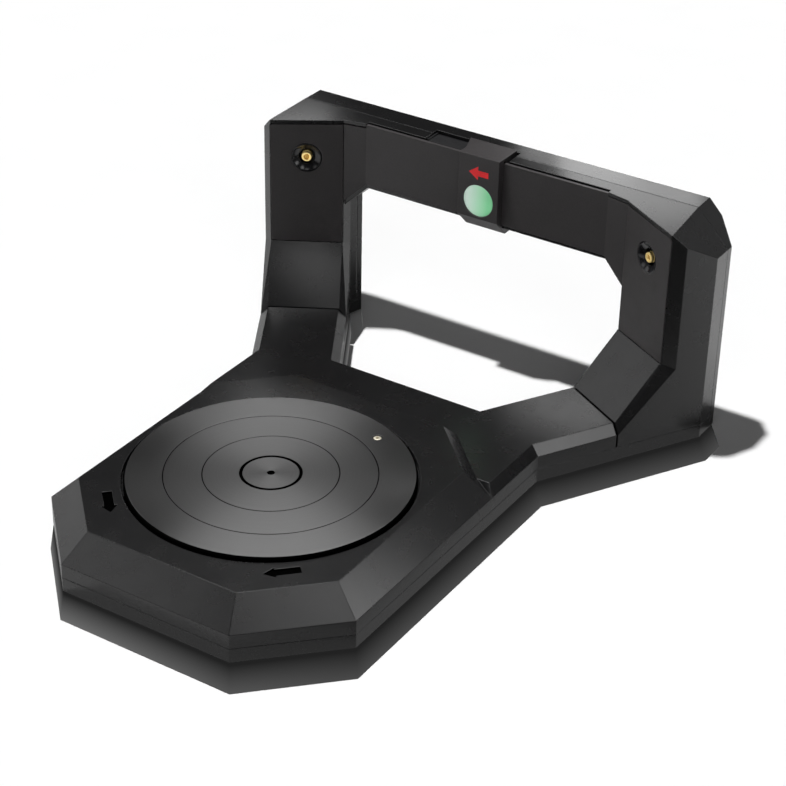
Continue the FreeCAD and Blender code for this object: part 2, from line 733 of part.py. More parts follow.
# ---------------------------------------------------------------- board, sockets and power button
def electronics():
    corners = [("%d * (boardWidth / 2 - boardHoleInset)" % x, y) for x in (1, -1)
               for y in ("boardFront + boardHoleFront", "boardBack - boardHoleInset")]
    posts = keep(newBody("board_standoffs"))
    pad(posts, [(x, y, "standoffRadius") for x, y in corners], "wall", "boardLift")
    pad(posts, [(x, y, "screwRadius - fit") for x, y in corners], "boardLift", "boardTop + past")

    board = keep(newBody("main_board"))
    pad(board, [box("-boardWidth / 2", "boardFront", "boardWidth / 2", "boardBack")], "boardLift", "boardTop")
    pocket(board, [(x, y, "screwRadius + fit") for x, y in corners], "0", "seamHeight")

    chips = keep(newBody("board_chips"))
    row = "boardFront + chipFront"
    pad(chips, [box("-chipLeft", row, "chipSide - chipLeft", row + " + chipSide")],
        "boardTop", "boardTop + chipThick")
    pad(chips, [box("smallChipX", row, "smallChipX + smallChipLong", row + " + smallChipWide")],
        "boardTop", "boardTop + chipThick")
    pad(chips, [("-capacitorX", row, "capacitorRadius")], "boardTop", "boardTop + capacitorTall")
    coil = "boardFront + coilFront"
    pad(chips, [box("-coilX - coilSide", coil, "-coilX", coil + " + coilSide")],
        "boardTop", "boardTop + coilTall")

    front, mouth, pinEnd = "neckReach - socketDepth", "neckReach - socketMouth", "neckReach - socketLegInset"
    for label, x in (("usb_socket", "0"), ("power_socket", "-socketApart")):
        socket = keep(newBody(label))
        left = "%s - socketWidth / 2" % x
        right = "%s + socketWidth / 2" % x
        pad(socket, [box(left, front, right, "neckReach - clearance")], "seamHigh", "seamHigh + socketTall")
        pad(socket, [box(left + " + socketLegInset", front, right + " - socketLegInset",
                         front + " + socketLeg")], "boardTop", "seamHigh")
        if label == "usb_socket":
            pocket(socket, [box(left + " + socketRim", "seamHigh + socketSill", right + " - socketRim",
                                "seamHigh + socketTall - socketSill")], mouth, "neckReach", role="XZ_Plane")
            pad(socket, [box("-tongueHalf", "socketMiddle - tongueThick / 2", "tongueHalf",
                             "socketMiddle + tongueThick / 2")], mouth, pinEnd, role="XZ_Plane")
        else:
            spot = (x, "socketMiddle")
            pocket(socket, [spot + ("plugHole",)], mouth, "neckReach", role="XZ_Plane")
            pad(socket, [spot + ("plugPin",)], mouth, pinEnd, role="XZ_Plane")

    spot = ("socketApart", "buttonHeight")
    button = keep(newBody("power_button"))
    pad(button, [spot + ("buttonRadius",)], "buttonRest", "neckReach + buttonProud", role="XZ_Plane")
    pad(button, [spot + ("buttonRadius + buttonFlange",)], "neckReach - wall - flangeThick",
        "neckReach - wall - fit", role="XZ_Plane")

    switch = keep(newBody("power_switch"))
    back = "buttonRest - switchPinLong"
    pad(switch, [box("socketApart - switchHalf", back + " - switchLong", "socketApart + switchHalf", back)],
        "boardTop", "buttonHeight + switchRise")
    pad(switch, [spot + ("switchPin",)], back, "buttonRest - buttonTravel - clearance", role="XZ_Plane")


# ---------------------------------------------------------------- arch frame
def postPlan(inset, panelAt, upTo):
    panel = ("-90 - armTilt", "-(%s)" % panelAt)
    lines = [panel, panelBevel, armOuter, frameSide, ("90", upTo), innerFlare, panelEdge]
    return outline(lines, inset)


def armBody(name, placed=True):
    # a body drawn with y along the right arm and x across it
    body = newBody(name, placed)
    body.Placement.Rotation = FreeCAD.Rotation(FreeCAD.Vector(0, 0, 1), -1)
    bind(body, "Placement.Rotation.Angle", "-armTilt")
    return body


def slanted(body, kind, shape, rise):
    # a section across the arm at the gap, carried along the arm to behind the panel while it climbs
    sketch = sketchOn(body, "XZ_Plane", "-footNear")
    addPolygon(sketch, shape)
    feature = body.newObject("PartDesign::" + kind, kind)
    feature.Profile = sketch
    feature.UseCustomVector = True
    feature.AlongSketchNormal = True
    feature.Direction = FreeCAD.Vector(0, number("footRun"), number(rise))
    bind(feature, "Direction.y", "footRun")
    bind(feature, "Direction.z", rise)
    bind(feature, "Length", "footRun + 1.5 * panelBack")


def footForm(name, inset, low):
    # the foot climbs from the arm's end to the post's front panel, and both its long edges are bevelled
    foot = armBody(name, placed=False)
    across = "(armHalf - (%s))" % inset
    flat = "(panelHalf - (%s))" % inset
    edge = "(wallTop - (%s) * (1 + footSlope))" % inset
    top = "(neckTop - (%s) * (1 + footSlope))" % inset
    deep = "(-2 * armHalf)"
    slanted(foot, "Pad", [("-" + across, deep), (across, deep), (across, edge), (flat, top),
                          ("-" + flat, top), ("-" + across, edge)], "footRise - neckTop")
    # the bevel turns down again beside the panel
    leanIn = "(armHalf - panelHalf) / (footRise - wallTop - footRun * bevelSlope)"
    high = edge + " + panelHalf"
    for side in ("1", "-1"):
        slanted(foot, "Pocket", [("%s * %s" % (side, across), edge),
                                 ("%s * (%s + panelHalf)" % (side, across), edge),
                                 ("%s * (%s + panelHalf)" % (side, across), high),
                                 ("%s * (%s - %s * panelHalf)" % (side, across, leanIn), high)],
                "footRun * bevelSlope")
    pocket(foot, [box("-2 * armHalf", "footNear - past", "2 * armHalf", "panelReach + 3 * panelBack")],
           "-3 * armHalf", low)
    if inset != "0":
        pocket(foot, [box("-2 * armHalf", "footNear - past", "2 * armHalf", "footNear + " + inset)],
               "-3 * armHalf", "footRise")
    return foot


def archPocket(form, inset):
    # under the beam the opening's top corners are cut at a slant
    under = "openingTop + (%s)" % inset
    wide = "(openingHalf + cornerRun)"
    side = "%s - (%s - openingTopHalf) * cornerDrop / cornerRun" % (under, wide)
    arch = [("-" + wide, "0"), (wide, "0"), (wide, side), ("openingTopHalf", under),
            ("-openingTopHalf", under), ("-" + wide, side)]
    pocket(form, [arch], "beamFront - farPast", "rearReach + farPast", role="XZ_Plane")


def roofWedge(name, inset):
    # everything above the roof, which slopes down to the front of the seam
    wedge = newBody(name, placed=False)
    level = "roofTop - (%s)" % inset
    fall = "(roofTop - roofFront) / roofRun * (seamReach - neckReach)"
    pad(wedge, [[("neckReach", level + " - " + fall), ("seamReach", level), ("rearReach + farPast", level),
                 ("rearReach + farPast", "roofTop + farPast"), ("neckReach", "roofTop + farPast")]],
        "-frameHalf - farPast", "frameHalf + farPast", role="YZ_Plane")
    return wedge


def crownShape(name, inset):
    # the roof, and the slant at both its ends, as one tool
    wedge = roofWedge(name + "Roof", inset)
    low, high = "footRise", "(roofTop + farPast)"
    sides = []
    for sign in (1, -1):
        at = "%d * (crownReach - (%s) - %s * sin(crownAngle)) / cos(crownAngle)"
        outside = "%d * 2 * frameHalf" % sign
        sides.append([(at % (sign, inset, low), low), (outside, low), (outside, high),
                      (at % (sign, inset, high), high)])
    corners = newBody(name + "Corners", placed=False)
    pad(corners, sides, "neckReach", "rearReach + farPast", role="XZ_Plane")
    return boolean("MultiFuse", name, [wedge, corners], placed=False)


def foldAt(front, out):
    # the beam's front folds back a little towards each post
    return "(%s - beamFold * (%s - openingTopHalf) / cornerRun)" % (front, out)


def beamPlan(front, rear):
    out = "(openingHalf + trackMargin)"
    fold = foldAt(front, out)
    return [("-" + out, fold), ("-openingTopHalf", front), ("openingTopHalf", front), (out, fold),
            (out, rear), ("-" + out, rear)]


def frontForm(name, inset, seat, low, rear):
    post = newBody(name + "Post", placed=False)
    pad(post, [postPlan(inset, "panelReach + (%s)" % seat, rear)], low, "roofTop + past")
    side = boolean("MultiFuse", name + "Side", [post, footForm(name + "Foot", inset, low)], placed=False)
    beam = newBody(name + "Beam", placed=False)
    pad(beam, [beamPlan("beamFront + (%s) + (%s)" % (seat, inset), rear)], "browLow", "roofTop + past")
    archPocket(beam, "%s - browDrop" % inset)
    whole = boolean("MultiFuse", name + "Whole", [side, mirrorOf(side, name + "Left", False), beam],
                    placed=False)
    return boolean("Cut", name, (whole, crownShape(name + "Crown", inset)), placed=False)


def rearForm(name, inset, low, front):
    lines = [("-90", "-(%s) + (%s)" % (front, inset)), frameSide, rearBevel, rearLine, innerBevel, innerFlare]
    post = newBody(name + "Post", placed=False)
    pad(post, [outline(lines, inset)], low, "roofTop + past")
    beam = newBody(name + "Beam", placed=False)
    wide = "(openingHalf + 2 * innerBevelRun)"
    pad(beam, [box("-" + wide, front, wide, "rearReach - (%s)" % inset)], "browLow", "roofTop + past")
    archPocket(beam, "%s - browDrop" % inset)
    whole = boolean("MultiFuse", name + "Whole", [post, mirrorOf(post, name + "Left", False), beam],
                    placed=False)
    return boolean("Cut", name, (whole, crownShape(name + "Crown", inset)), placed=False)


def panelPlate(name, grow, placed):
    # the plate of a post's front panel, or grown by a clearance the recess for it
    body = armBody(name, placed)
    half = "panelHalf + (%s)" % grow
    pad(body, [box("-(%s)" % half, "panelReach - (%s)" % grow, half, "panelReach + panelThick + (%s)" % grow)],
        "footRise + fit - (%s)" % grow, "roofTop + past")
    return body


def beamPlate(name, grow, out, drop="0"):
    # the plate of the beam's front panel, or grown by a clearance the recess for it; the recess may
    # reach down past the brow, which shows under the plate
    body = newBody(name, placed=False)
    front = "beamFront - (%s)" % grow
    back = "beamFront + panelThick + (%s)" % grow
    shape = [("-" + out, foldAt(front, out)), ("-openingTopHalf", front), ("openingTopHalf", front),
             (out, foldAt(front, out)), (out, foldAt(back, out)), ("openingTopHalf", back),
             ("-openingTopHalf", back), ("-" + out, foldAt(back, out))]
    pad(body, [shape], "browLow - past", "roofTop + past")
    archPocket(body, "-(%s) - (%s)" % (grow, drop))
    return body


def lipEnds(body, low):
    # outside the beam's straight stretch the lip covers the plate, up to the posts
    far = "openingHalf + farPast"
    pocket(body, [box("openingTopHalf", "beamFront - farPast", far, "beamFront + farPast"),
                  box("-(%s)" % far, "beamFront - farPast", "-openingTopHalf", "beamFront + farPast")],
           low, "roofTop + 2 * past")


def frontShell():
    outer = frontForm("frontOuter", "0", "0", "seamHigh", "seamFront")
    inner = frontForm("frontInner", "wall", seatDepth, "seamHigh - wall", "(seamReach + 2 * wall)")
    columns = newBody("frontColumns", placed=False)
    pad(columns, [(x, z, "bossRadius") for x, z in coverScrews], "seamReach - postWidth", "seamFront",
        role="XZ_Plane")
    pad(columns, [(x, y, "bossRadius") for x, y in frameBosses], "seamHigh", "seamHeight + frameBossTall")
    hollow = boolean("Cut", "frontHollow", (inner, columns), placed=False)
    shell = boolean("Cut", "frontHollowed", (outer, hollow), placed=False)
    plate = panelPlate("panelSpace", "clearance", placed=False)
    recess = boolean("Cut", "recessSpace", (plate, crownShape("recessTrim", "lipFace")), placed=False)
    window = armBody("bezelSpace", placed=False)
    pad(window, [("0", "laserHeight", "bezelRadius + clearance")], "panelReach - past",
        "panelReach + bezelDepth + wall", role="XZ_Plane")
    side = boolean("MultiFuse", "sideSpaces", [recess, window], placed=False)
    brow = beamPlate("browSpace", "clearance", "openingHalf", "browDrop + past")
    lipEnds(brow, "lipLow")
    middle = beamPlate("beamSpace", "clearance", "(openingHalf + past)")
    lipEnds(middle, "lipLow")
    pad(middle, [box("-openingTopHalf", "beamFront - past", "openingTopHalf",
                     "beamFront + panelThick + grooveWidth")], "roofTop - grooveDepth", "roofTop + past")
    pad(middle, [("0", "cameraHeight", "cameraRadius + clearance")], "beamFront",
        "beamFront + cameraLength - cameraMouth", role="XZ_Plane")
    pad(middle, [slotBox], "slotFloor", "roofTop + past")
    pad(middle, [(x, z, "screwRadius + fit") for x, z in coverScrews], "seamReach - coverBite - coverBiteRoom",
        "seamReach + past", role="XZ_Plane")
    pad(middle, [(x, y, "screwRadius + fit") for x, y in frameBosses], "0", "pilotTop")
    spaces = boolean("MultiFuse", "frontSpaces", [side, mirrorOf(side, "sideSpacesLeft", False), brow, middle],
                     placed=False)
    keep(boolean("Cut", "frame_front_shell", (shell, spaces)))


def rearCover():
    outer = rearForm("rearOuter", "0", "seamHigh", "seamRear")
    inner = rearForm("rearInner", "wall", "seamHigh + wall", "(seamReach - wall)")
    columns = newBody("rearColumns", placed=False)
    pad(columns, [(x, z, "bossRadius") for x, z in coverScrews], "seamRear", "rearReach + past", role="XZ_Plane")
    hollow = boolean("Cut", "rearHollow", (inner, columns), placed=False)
    shell = boolean("Cut", "rearHollowed", (outer, hollow), placed=False)
    spaces = newBody("rearSpaces", placed=False)
    pad(spaces, [(x, z, "screwRadius + clearance") for x, z in coverScrews], "seamReach - coverBite",
        "rearReach + past", role="XZ_Plane")
    pad(spaces, [(x, z, "screwHead + clearance") for x, z in coverScrews], "coverHeadSeat",
        "rearReach + past", role="XZ_Plane")
    pad(spaces, [slotBox], "slotFloor", "roofTop + past")
    keep(boolean("Cut", "rear_cover", (shell, spaces)))


def frontPanels():
    plate = panelPlate("panelPlate", "0", placed=True)
    pocket(plate, [("0", "laserHeight", "bezelRadius + fit")], "panelReach - past",
           "panelReach + panelThick + past", role="XZ_Plane")
    trim = crownShape("panelTrim", "lipFace + lipSlit")
    place(trim)
    right = keep(boolean("Cut", "right_post_panel", (plate, trim), placed=False))
    keep(mirrorOf(right, "left_post_panel", placed=False))
    beam = beamPlate("beamPlate", "0", "(openingHalf - fit)")
    lipEnds(beam, "lipLow - lipSlit")
    pocket(beam, [("0", "cameraHeight", "cameraRadius + fit")], "beamFront - past",
           "beamFront + panelThick + past", role="XZ_Plane")
    keep(boolean("Cut", "beam_panel", (beam, roofWedge("beamTrim", "lipSlit"))))


# ---------------------------------------------------------------- lasers
# A round piece on a lengthways axis: its outline is (reach, radius) corners about the given height.
def turnedAlong(body, corners, height):
    sketch = sketchOn(body, "YZ_Plane", "0")
    bind(sketch, "AttachmentOffset.Base.y", height)
    addPolygon(sketch, corners)
    revolve(body, "Revolution", sketch, "H_Axis")
    return body


def bothLasers(name, body):
    body.Label = "right_" + name
    keep(body)
    keep(mirrorOf(body, "left_" + name, placed=False))


def lasers():
    front = "(panelReach + clearance)"
    back = "(panelReach + clearance + bezelDepth)"
    tube = "(barrelRadius + clearance)"
    # a shallow dish, and a deeper throat round the barrel
    bezel = [(front, "bezelCone"), (front + " + bezelDish", "bezelThroat"), (back + " - bezelRim", "bezelThroat"),
             (back + " - bezelRim", tube), (back, tube), (back, "bezelRadius"), (front, "bezelRadius")]
    bothLasers("laser_bezel", turnedAlong(armBody("right_laser_bezel"), bezel, "laserHeight"))

    start = "(panelReach + barrelBack)"
    bore = "(lensRadius + fit)"
    barrel = [(start, bore), (start + " + barrelMouth", bore), (start + " + barrelMouth", "0"),
              (start + " + barrelLength", "0"), (start + " + barrelLength", "barrelRadius"),
              (start + " + barrelEdge", "barrelRadius"), (start, "barrelRadius - barrelEdge")]
    bothLasers("laser_barrel", turnedAlong(armBody("right_laser_barrel"), barrel, "laserHeight"))

    lensBack = start + " + barrelMouth - lensGap"
    lensFront = lensBack + " - lensThick"
    lens = [(lensFront, "0"), (lensBack, "0"), (lensBack, "lensRadius"), (lensFront, "lensRadius")]
    bothLasers("laser_lens", turnedAlong(armBody("right_laser_lens"), lens, "laserHeight"))

    holder = armBody("right_laser_holder")
    half = "holderSide / 2"
    pad(holder, [box("-" + half, "laserHeight - " + half, half, "laserHeight + " + half)],
        back + " + clearance", back + " + clearance + holderDepth", role="XZ_Plane")
    pocket(holder, [("0", "laserHeight", "barrelRadius + fit")], back, back + " + 2 * holderDepth",
           role="XZ_Plane")
    bothLasers("laser_holder", holder)


# ---------------------------------------------------------------- camera and filter slider
def camera():
    front = "(beamFront + clearance)"
    plate = "(beamFront + panelThick + clearance + wall + fit)"
    collar = plate + " + bracketThick + fit"
    mouth = front + " + cameraMouth"
    barrel = [(front, "cameraLens + fit"), (mouth, "cameraLens + fit"), (mouth, "0"),
              (front + " + cameraLength", "0"), (front + " + cameraLength", "cameraRadius + cameraCollar"),
              (collar, "cameraRadius + cameraCollar"), (collar, "cameraRadius"), (front, "cameraRadius")]
    keep(turnedAlong(newBody("camera_barrel"), barrel, "cameraHeight"))

    lensBack = mouth + " - lensGap"
    lensFront = lensBack + " - cameraLensThick"
    lens = [(lensFront, "0"), (lensBack, "0"), (lensBack, "cameraLens"),
            (lensFront + " + cameraDome", "cameraLens")]
    keep(turnedAlong(newBody("camera_lens"), lens, "cameraHeight"))

    bracket = keep(newBody("camera_bracket"))
    pad(bracket, [box("-bracketHalf", "cameraHeight - bracketRise", "bracketHalf", "cameraHeight + bracketRise")],
        plate, plate + " + bracketThick", role="XZ_Plane")
    pocket(bracket, [("0", "cameraHeight", "cameraRadius + fit")], plate + " - past",
           plate + " + bracketThick + past", role="XZ_Plane")

    board = keep(newBody("camera_board"))
    back = front + " + cameraLength + fit"
    pad(board, [box("-cameraBoard / 2", "cameraHeight - cameraBoardTall / 2", "cameraBoard / 2",
                    "cameraHeight + cameraBoardTall / 2")], back, back + " + boardThick", role="XZ_Plane")
    pad(board, [box("-sensorHalf", "cameraHeight - sensorRise", "sensorHalf", "cameraHeight + sensorRise")],
        back + " + boardThick", back + " + boardThick + chipThick", role="XZ_Plane")


def filterSlider():
    slider = keep(newBody("filter_slider"))
    face = "(beamFront - clearance - sliderThick)"
    rear = "(beamFront - clearance)"
    under = "(openingTop - browDrop - clearance)"
    low = "(openingTop - sliderBelow)"
    lip = "(beamFront + panelThick + 2 * clearance)"
    bend = face + " + sliderUnder"
    hook = bend + " + sliderHook"
    step = "(beamFront + panelThick)"
    profile = [(face, "sliderLow"), (bend, low), (hook, low), (hook, under), (step, under),
               (step, "openingTop - clearance"), (rear, "openingTop - clearance"),
               (rear, "roofTop - clearance"), (lip, "roofTop - clearance"), (lip, "slotFloor + clearance"),
               ("sliderTail", "slotFloor + clearance"), ("sliderTail", "sliderTop"), (face, "sliderTop")]
    pad(slider, [profile], "-sliderHalf", "sliderHalf", role="YZ_Plane")
    wing = "-(sliderHalf + sliderWing)"
    pad(slider, [[("-sliderHalf", lip), ("-sliderHalf", "sliderTail"), (wing, "sliderTail")]],
        "slotFloor + clearance", "sliderTop")
    depth = "(filterThick + filterSink)"
    pocket(slider, [("0", "cameraHeight", "filterRadius + fit")], face + " - past", face + " + " + depth,
           role="XZ_Plane")
    pocket(slider, [("0", "cameraHeight", "filterRadius - filterLedge")], face, rear + " + fit",
           role="XZ_Plane")

    glass = keep(newBody("filter_glass"))
    pad(glass, [("0", "cameraHeight", "filterRadius")], face + " + filterSink", face + " + " + depth,
        role="XZ_Plane")

    track = keep(newBody("slider_track"))
    near = "beamFront + panelThick + clearance + wall + clearance"
    pad(track, [box("-slotLeft - trackMargin", near, "slotRight + trackMargin", "slotRear + trackMargin")],
        "slotFloor - trackThick", "slotFloor - fit")
    pad(track, [box("-slotLeft + fit", near, "-slotLeft + trackStop", "slotRear - fit")],
        "slotFloor - fit", "slotFloor + past")


# ---------------------------------------------------------------- feet and screws
def feetAndScrews():
    feet = keep(newBody("rubber_feet"))
    pad(feet, [(x, y, "footRadius") for x, y in footSpots], "-footHeight", "footSeat - fit")

    under = keep(newBody("base_screws"))
    spots = bossSpots + frameBosses
    pad(under, [(x, y, "screwHead") for x, y in spots], "headSink", "wall - fit")
    pad(under, [(x, y, "screwRadius") for x, y in spots], "wall - fit", "wall + screwLength")

    behind = keep(newBody("cover_screws"))
    pad(behind, [(x, z, "screwHead") for x, z in coverScrews], "coverHeadSeat + fit", "rearReach - headSink",
        role="XZ_Plane")
    pad(behind, [(x, z, "screwRadius") for x, z in coverScrews], "seamReach - coverBite",
        "coverHeadSeat + fit", role="XZ_Plane")


bottomShell()
topShell()
turntable()
drive()
electronics()
frontShell()
rearCover()
frontPanels()
lasers()
camera()
filterSlider()
feetAndScrews()

doc.recompute()
for one in doc.Objects:
    if "Invalid" in one.State or "Error" in one.State:
        raise RuntimeError("%s (%s) failed: %s" % (one.Name, one.Label, one.State))
os.makedirs("parts", exist_ok=True)
for made in subParts:
    shape = made.Shape
    if shape.isNull() or not shape.isValid():
        raise RuntimeError(made.Label + " has no valid shape")
    shape.exportStep("parts/%s.step" % made.Label)
    print(made.Label, len(shape.Solids), round(shape.Volume), shape.BoundBox)
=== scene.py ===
import json
import math

import bmesh
import bpy
from mathutils import Matrix, Vector


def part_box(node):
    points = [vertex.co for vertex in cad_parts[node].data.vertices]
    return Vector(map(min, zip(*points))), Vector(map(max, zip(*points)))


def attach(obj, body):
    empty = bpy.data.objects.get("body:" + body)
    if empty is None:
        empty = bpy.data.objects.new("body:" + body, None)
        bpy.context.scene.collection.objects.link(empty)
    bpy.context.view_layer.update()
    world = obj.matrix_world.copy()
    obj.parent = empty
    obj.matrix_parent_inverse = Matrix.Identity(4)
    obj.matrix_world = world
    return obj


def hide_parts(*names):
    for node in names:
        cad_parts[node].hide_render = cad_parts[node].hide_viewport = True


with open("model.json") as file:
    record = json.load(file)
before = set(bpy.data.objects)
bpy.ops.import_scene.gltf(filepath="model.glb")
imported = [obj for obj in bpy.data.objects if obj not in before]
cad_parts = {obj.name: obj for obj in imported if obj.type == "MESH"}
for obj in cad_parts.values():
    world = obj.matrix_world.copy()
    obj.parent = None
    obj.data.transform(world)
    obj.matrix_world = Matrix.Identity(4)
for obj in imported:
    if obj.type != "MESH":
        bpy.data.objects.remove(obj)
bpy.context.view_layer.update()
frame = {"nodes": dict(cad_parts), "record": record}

nodes = frame["nodes"]
mm = 0.001
print("frame loaded:", len(nodes), "nodes")


# Finishes are built from these few steps; sizes in them are in mm.
# black is painted shade for places that no light reaches, edge is how far the rounded normal leans at an edge
# that is painted brighter, as wear and as a painted highlight
basics = {"black": (0.0008, 0.0008, 0.0008), "bevelSamples": 6, "edge": (0.80, 0.99)}


def startLook(name):
    look = bpy.data.materials.new(name)
    look.use_nodes = True
    tree = look.node_tree
    tree.nodes.clear()
    shader = tree.nodes.new("ShaderNodeBsdfPrincipled")
    end = tree.nodes.new("ShaderNodeOutputMaterial")
    tree.links.new(shader.outputs[0], end.inputs["Surface"])
    where = tree.nodes.new("ShaderNodeTexCoord").outputs["Object"]
    return look, tree, shader, where


def vectorStep(tree, kind, value, other, output=0):
    node = tree.nodes.new("ShaderNodeVectorMath")
    node.operation = kind
    tree.links.new(value, node.inputs[0])
    node.inputs[1].default_value = other
    return node.outputs[output]


def combined(tree, kind, first, second):
    node = tree.nodes.new("ShaderNodeMath")
    node.operation = kind
    tree.links.new(first, node.inputs[0])
    tree.links.new(second, node.inputs[1])
    return node.outputs[0]


def part(tree, value, axis):
    split = tree.nodes.new("ShaderNodeSeparateXYZ")
    tree.links.new(value, split.inputs[0])
    return split.outputs[axis]


def noiseAt(tree, where, size, detail=2.0, stretch=(1, 1, 1)):
    # size is the width of one speck
    noise = tree.nodes.new("ShaderNodeTexNoise")
    noise.inputs["Scale"].default_value = 1 / (size * mm)
    noise.inputs["Detail"].default_value = detail
    tree.links.new(vectorStep(tree, "MULTIPLY", where, stretch), noise.inputs["Vector"])
    return noise.outputs["Fac"]


def ranged(tree, value, low, high, fromLow=0.3, fromHigh=0.7):
    node = tree.nodes.new("ShaderNodeMapRange")
    node.inputs["From Min"].default_value = fromLow
    node.inputs["From Max"].default_value = fromHigh
    node.inputs["To Min"].default_value = low
    node.inputs["To Max"].default_value = high
    tree.links.new(value, node.inputs["Value"])
    return node.outputs["Result"]


def mixed(tree, share, first, second):
    # first and second are colours or sockets
    node = tree.nodes.new("ShaderNodeMix")
    node.data_type = "RGBA"
    if isinstance(share, float):
        node.inputs["Factor"].default_value = share
    else:
        tree.links.new(share, node.inputs["Factor"])
    for one, socket in ((first, node.inputs[6]), (second, node.inputs[7])):
        if isinstance(one, (tuple, list)):
            socket.default_value = (*one[:3], 1)
        else:
            tree.links.new(one, socket)
    return node.outputs[2]


def roundedNormal(tree, width):
    rounded = tree.nodes.new("ShaderNodeBevel")
    rounded.samples = basics["bevelSamples"]
    rounded.inputs["Radius"].default_value = width * mm
    return rounded.outputs["Normal"]


def bumped(tree, shader, height, depth, strength, edge=0):
    bump = tree.nodes.new("ShaderNodeBump")
    bump.inputs["Distance"].default_value = depth * mm
    bump.inputs["Strength"].default_value = strength
    tree.links.new(height, bump.inputs["Height"])
    if edge:
        tree.links.new(roundedNormal(tree, edge), bump.inputs["Normal"])
    tree.links.new(bump.outputs["Normal"], shader.inputs["Normal"])


def edgeShare(tree, width):
    # 1 along an edge and 0 on a flat face: the rounded normal is compared with the true one
    true = tree.nodes.new("ShaderNodeNewGeometry")
    dot = tree.nodes.new("ShaderNodeVectorMath")
    dot.operation = "DOT_PRODUCT"
    tree.links.new(roundedNormal(tree, width), dot.inputs[0])
    tree.links.new(true.outputs["Normal"], dot.inputs[1])
    return ranged(tree, dot.outputs["Value"], 1.0, 0.0, *basics["edge"])


def belowShare(tree, where, top, soft=0.08):
    # 1 in whatever lies under the height top, in metres
    return ranged(tree, part(tree, where, "Z"), 1, 0, top - soft * mm, top)


def scaledColour(colour, share):
    return tuple(min(1.0, one * share) for one in colour)


# Moulded plastic: fine spark-eroded grain, slow cloudiness, and edges painted a little brighter, as wear and
# as a painted highlight.
# speck, sheenCloud and edgeRound are multiples of the look's grain, cloud and edge.
moulding = {"speck": 1.7, "speckShare": 0.25, "speckLight": 1.9, "patch": 9, "patchLeast": 0.35,
            "sheenCloud": 0.4, "grainStrength": 0.6, "edgeRound": 1.5}


def mouldedPlastic(name, look, pits=None):
    # pits gives the share of a recess that is painted black as shade, where no light reaches
    made, tree, shader, where = startLook(name)
    colour, drift = look["colour"], look["drift"]
    cloud = ranged(tree, noiseAt(tree, where, look["cloud"], 3), 0, 1)
    base = mixed(tree, cloud, scaledColour(colour, 1 - drift), scaledColour(colour, 1 + drift))
    speck = ranged(tree, noiseAt(tree, where, look["grain"] * moulding["speck"], 1), 0, 1)
    pale = mixed(tree, moulding["speckShare"], base, scaledColour(colour, moulding["speckLight"]))
    base = mixed(tree, speck, base, pale)
    patch = ranged(tree, noiseAt(tree, where, moulding["patch"], 2), moulding["patchLeast"], 1.0)
    # painted highlight: edges are painted brighter, partly as wear and partly as the highlight a lit edge
    # shows
    wornAndLitEdge = combined(tree, "MULTIPLY", edgeShare(tree, look["edge"]), patch)
    base = mixed(tree, ranged(tree, wornAndLitEdge, 0.0, look["wearHighlightShare"], 0, 1), base, look["wearHighlightColour"])
    sheen = noiseAt(tree, where, look["cloud"] * moulding["sheenCloud"], 4)
    if pits:
        share = pits(tree, where)
        # painted shade: a recess is painted black and loses its gloss
        base = mixed(tree, share, base, basics["black"])
        tree.links.new(ranged(tree, share, look["gloss"], 0, 0, 1), shader.inputs["Specular IOR Level"])
    else:
        shader.inputs["Specular IOR Level"].default_value = look["gloss"]
    tree.links.new(base, shader.inputs["Base Color"])
    tree.links.new(ranged(tree, sheen, *look["roughness"]), shader.inputs["Roughness"])
    bumped(tree, shader, noiseAt(tree, where, look["grain"], 2), look["relief"], moulding["grainStrength"],
           look["edge"] * moulding["edgeRound"])
    return made


# Metal: fine lines with faint blotches. dark, bright and blotched are multiples of its colour; facing
# and sides are where the painted glow of a forward face starts and ends, by its normal and across the object.
working = {"blotch": 6, "dark": 0.86, "bright": 1.06, "blotched": 0.92, "lineStrength": 0.5,
           "facing": (-0.85, -0.60), "sides": (-0.1, 0.1)}


def workedMetal(name, look):
    made, tree, shader, where = startLook(name)
    colour = look["colour"]
    lines = noiseAt(tree, where, look["line"], 3, look["stretch"])
    blotch = ranged(tree, noiseAt(tree, where, working["blotch"], 2), 0, 1)
    dark, bright = scaledColour(colour, working["dark"]), scaledColour(colour, working["bright"])
    base = mixed(tree, ranged(tree, lines, 0, 1), dark, bright)
    base = mixed(tree, blotch, base, scaledColour(colour, working["blotched"]))
    tree.links.new(base, shader.inputs["Base Color"])
    tree.links.new(ranged(tree, lines, *look["roughness"]), shader.inputs["Roughness"])
    shader.inputs["Metallic"].default_value = look["metal"]
    if "paintedGlow" in look:
        # painted highlight: the faces that look forward glow, though the metal is no lamp, with a share for
        # the left side and one for the right
        forward = part(tree, tree.nodes.new("ShaderNodeNewGeometry").outputs["Normal"], "Y")
        light = ranged(tree, part(tree, where, "X"), *look["paintedGlow"], *working["sides"])
        tree.links.new(base, shader.inputs["Emission Color"])
        tree.links.new(combined(tree, "MULTIPLY", ranged(tree, forward, 1, 0, *working["facing"]), light),
                       shader.inputs["Emission Strength"])
    bumped(tree, shader, lines, look["relief"], working["lineStrength"])
    return made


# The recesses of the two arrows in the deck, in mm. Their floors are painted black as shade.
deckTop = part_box("base_top_shell")[1].z
arrow = {"across": 71.8, "along": -171.6, "reach": 15.5, "soft": 0.1, "under": 0.3}


def arrowPits(tree, where):
    flat = vectorStep(tree, "MULTIPLY", where, (1, 1, 0))
    shares = []
    for side in (-1, 1):
        middle = (side * arrow["across"] * mm, arrow["along"] * mm, 0)
        away = vectorStep(tree, "DISTANCE", flat, middle, "Value")
        shares.append(ranged(tree, away, 1, 0, arrow["reach"] * mm, (arrow["reach"] + arrow["soft"]) * mm))
    near = combined(tree, "MAXIMUM", *shares)
    return combined(tree, "MULTIPLY", near, belowShare(tree, where, deckTop - arrow["under"] * mm))


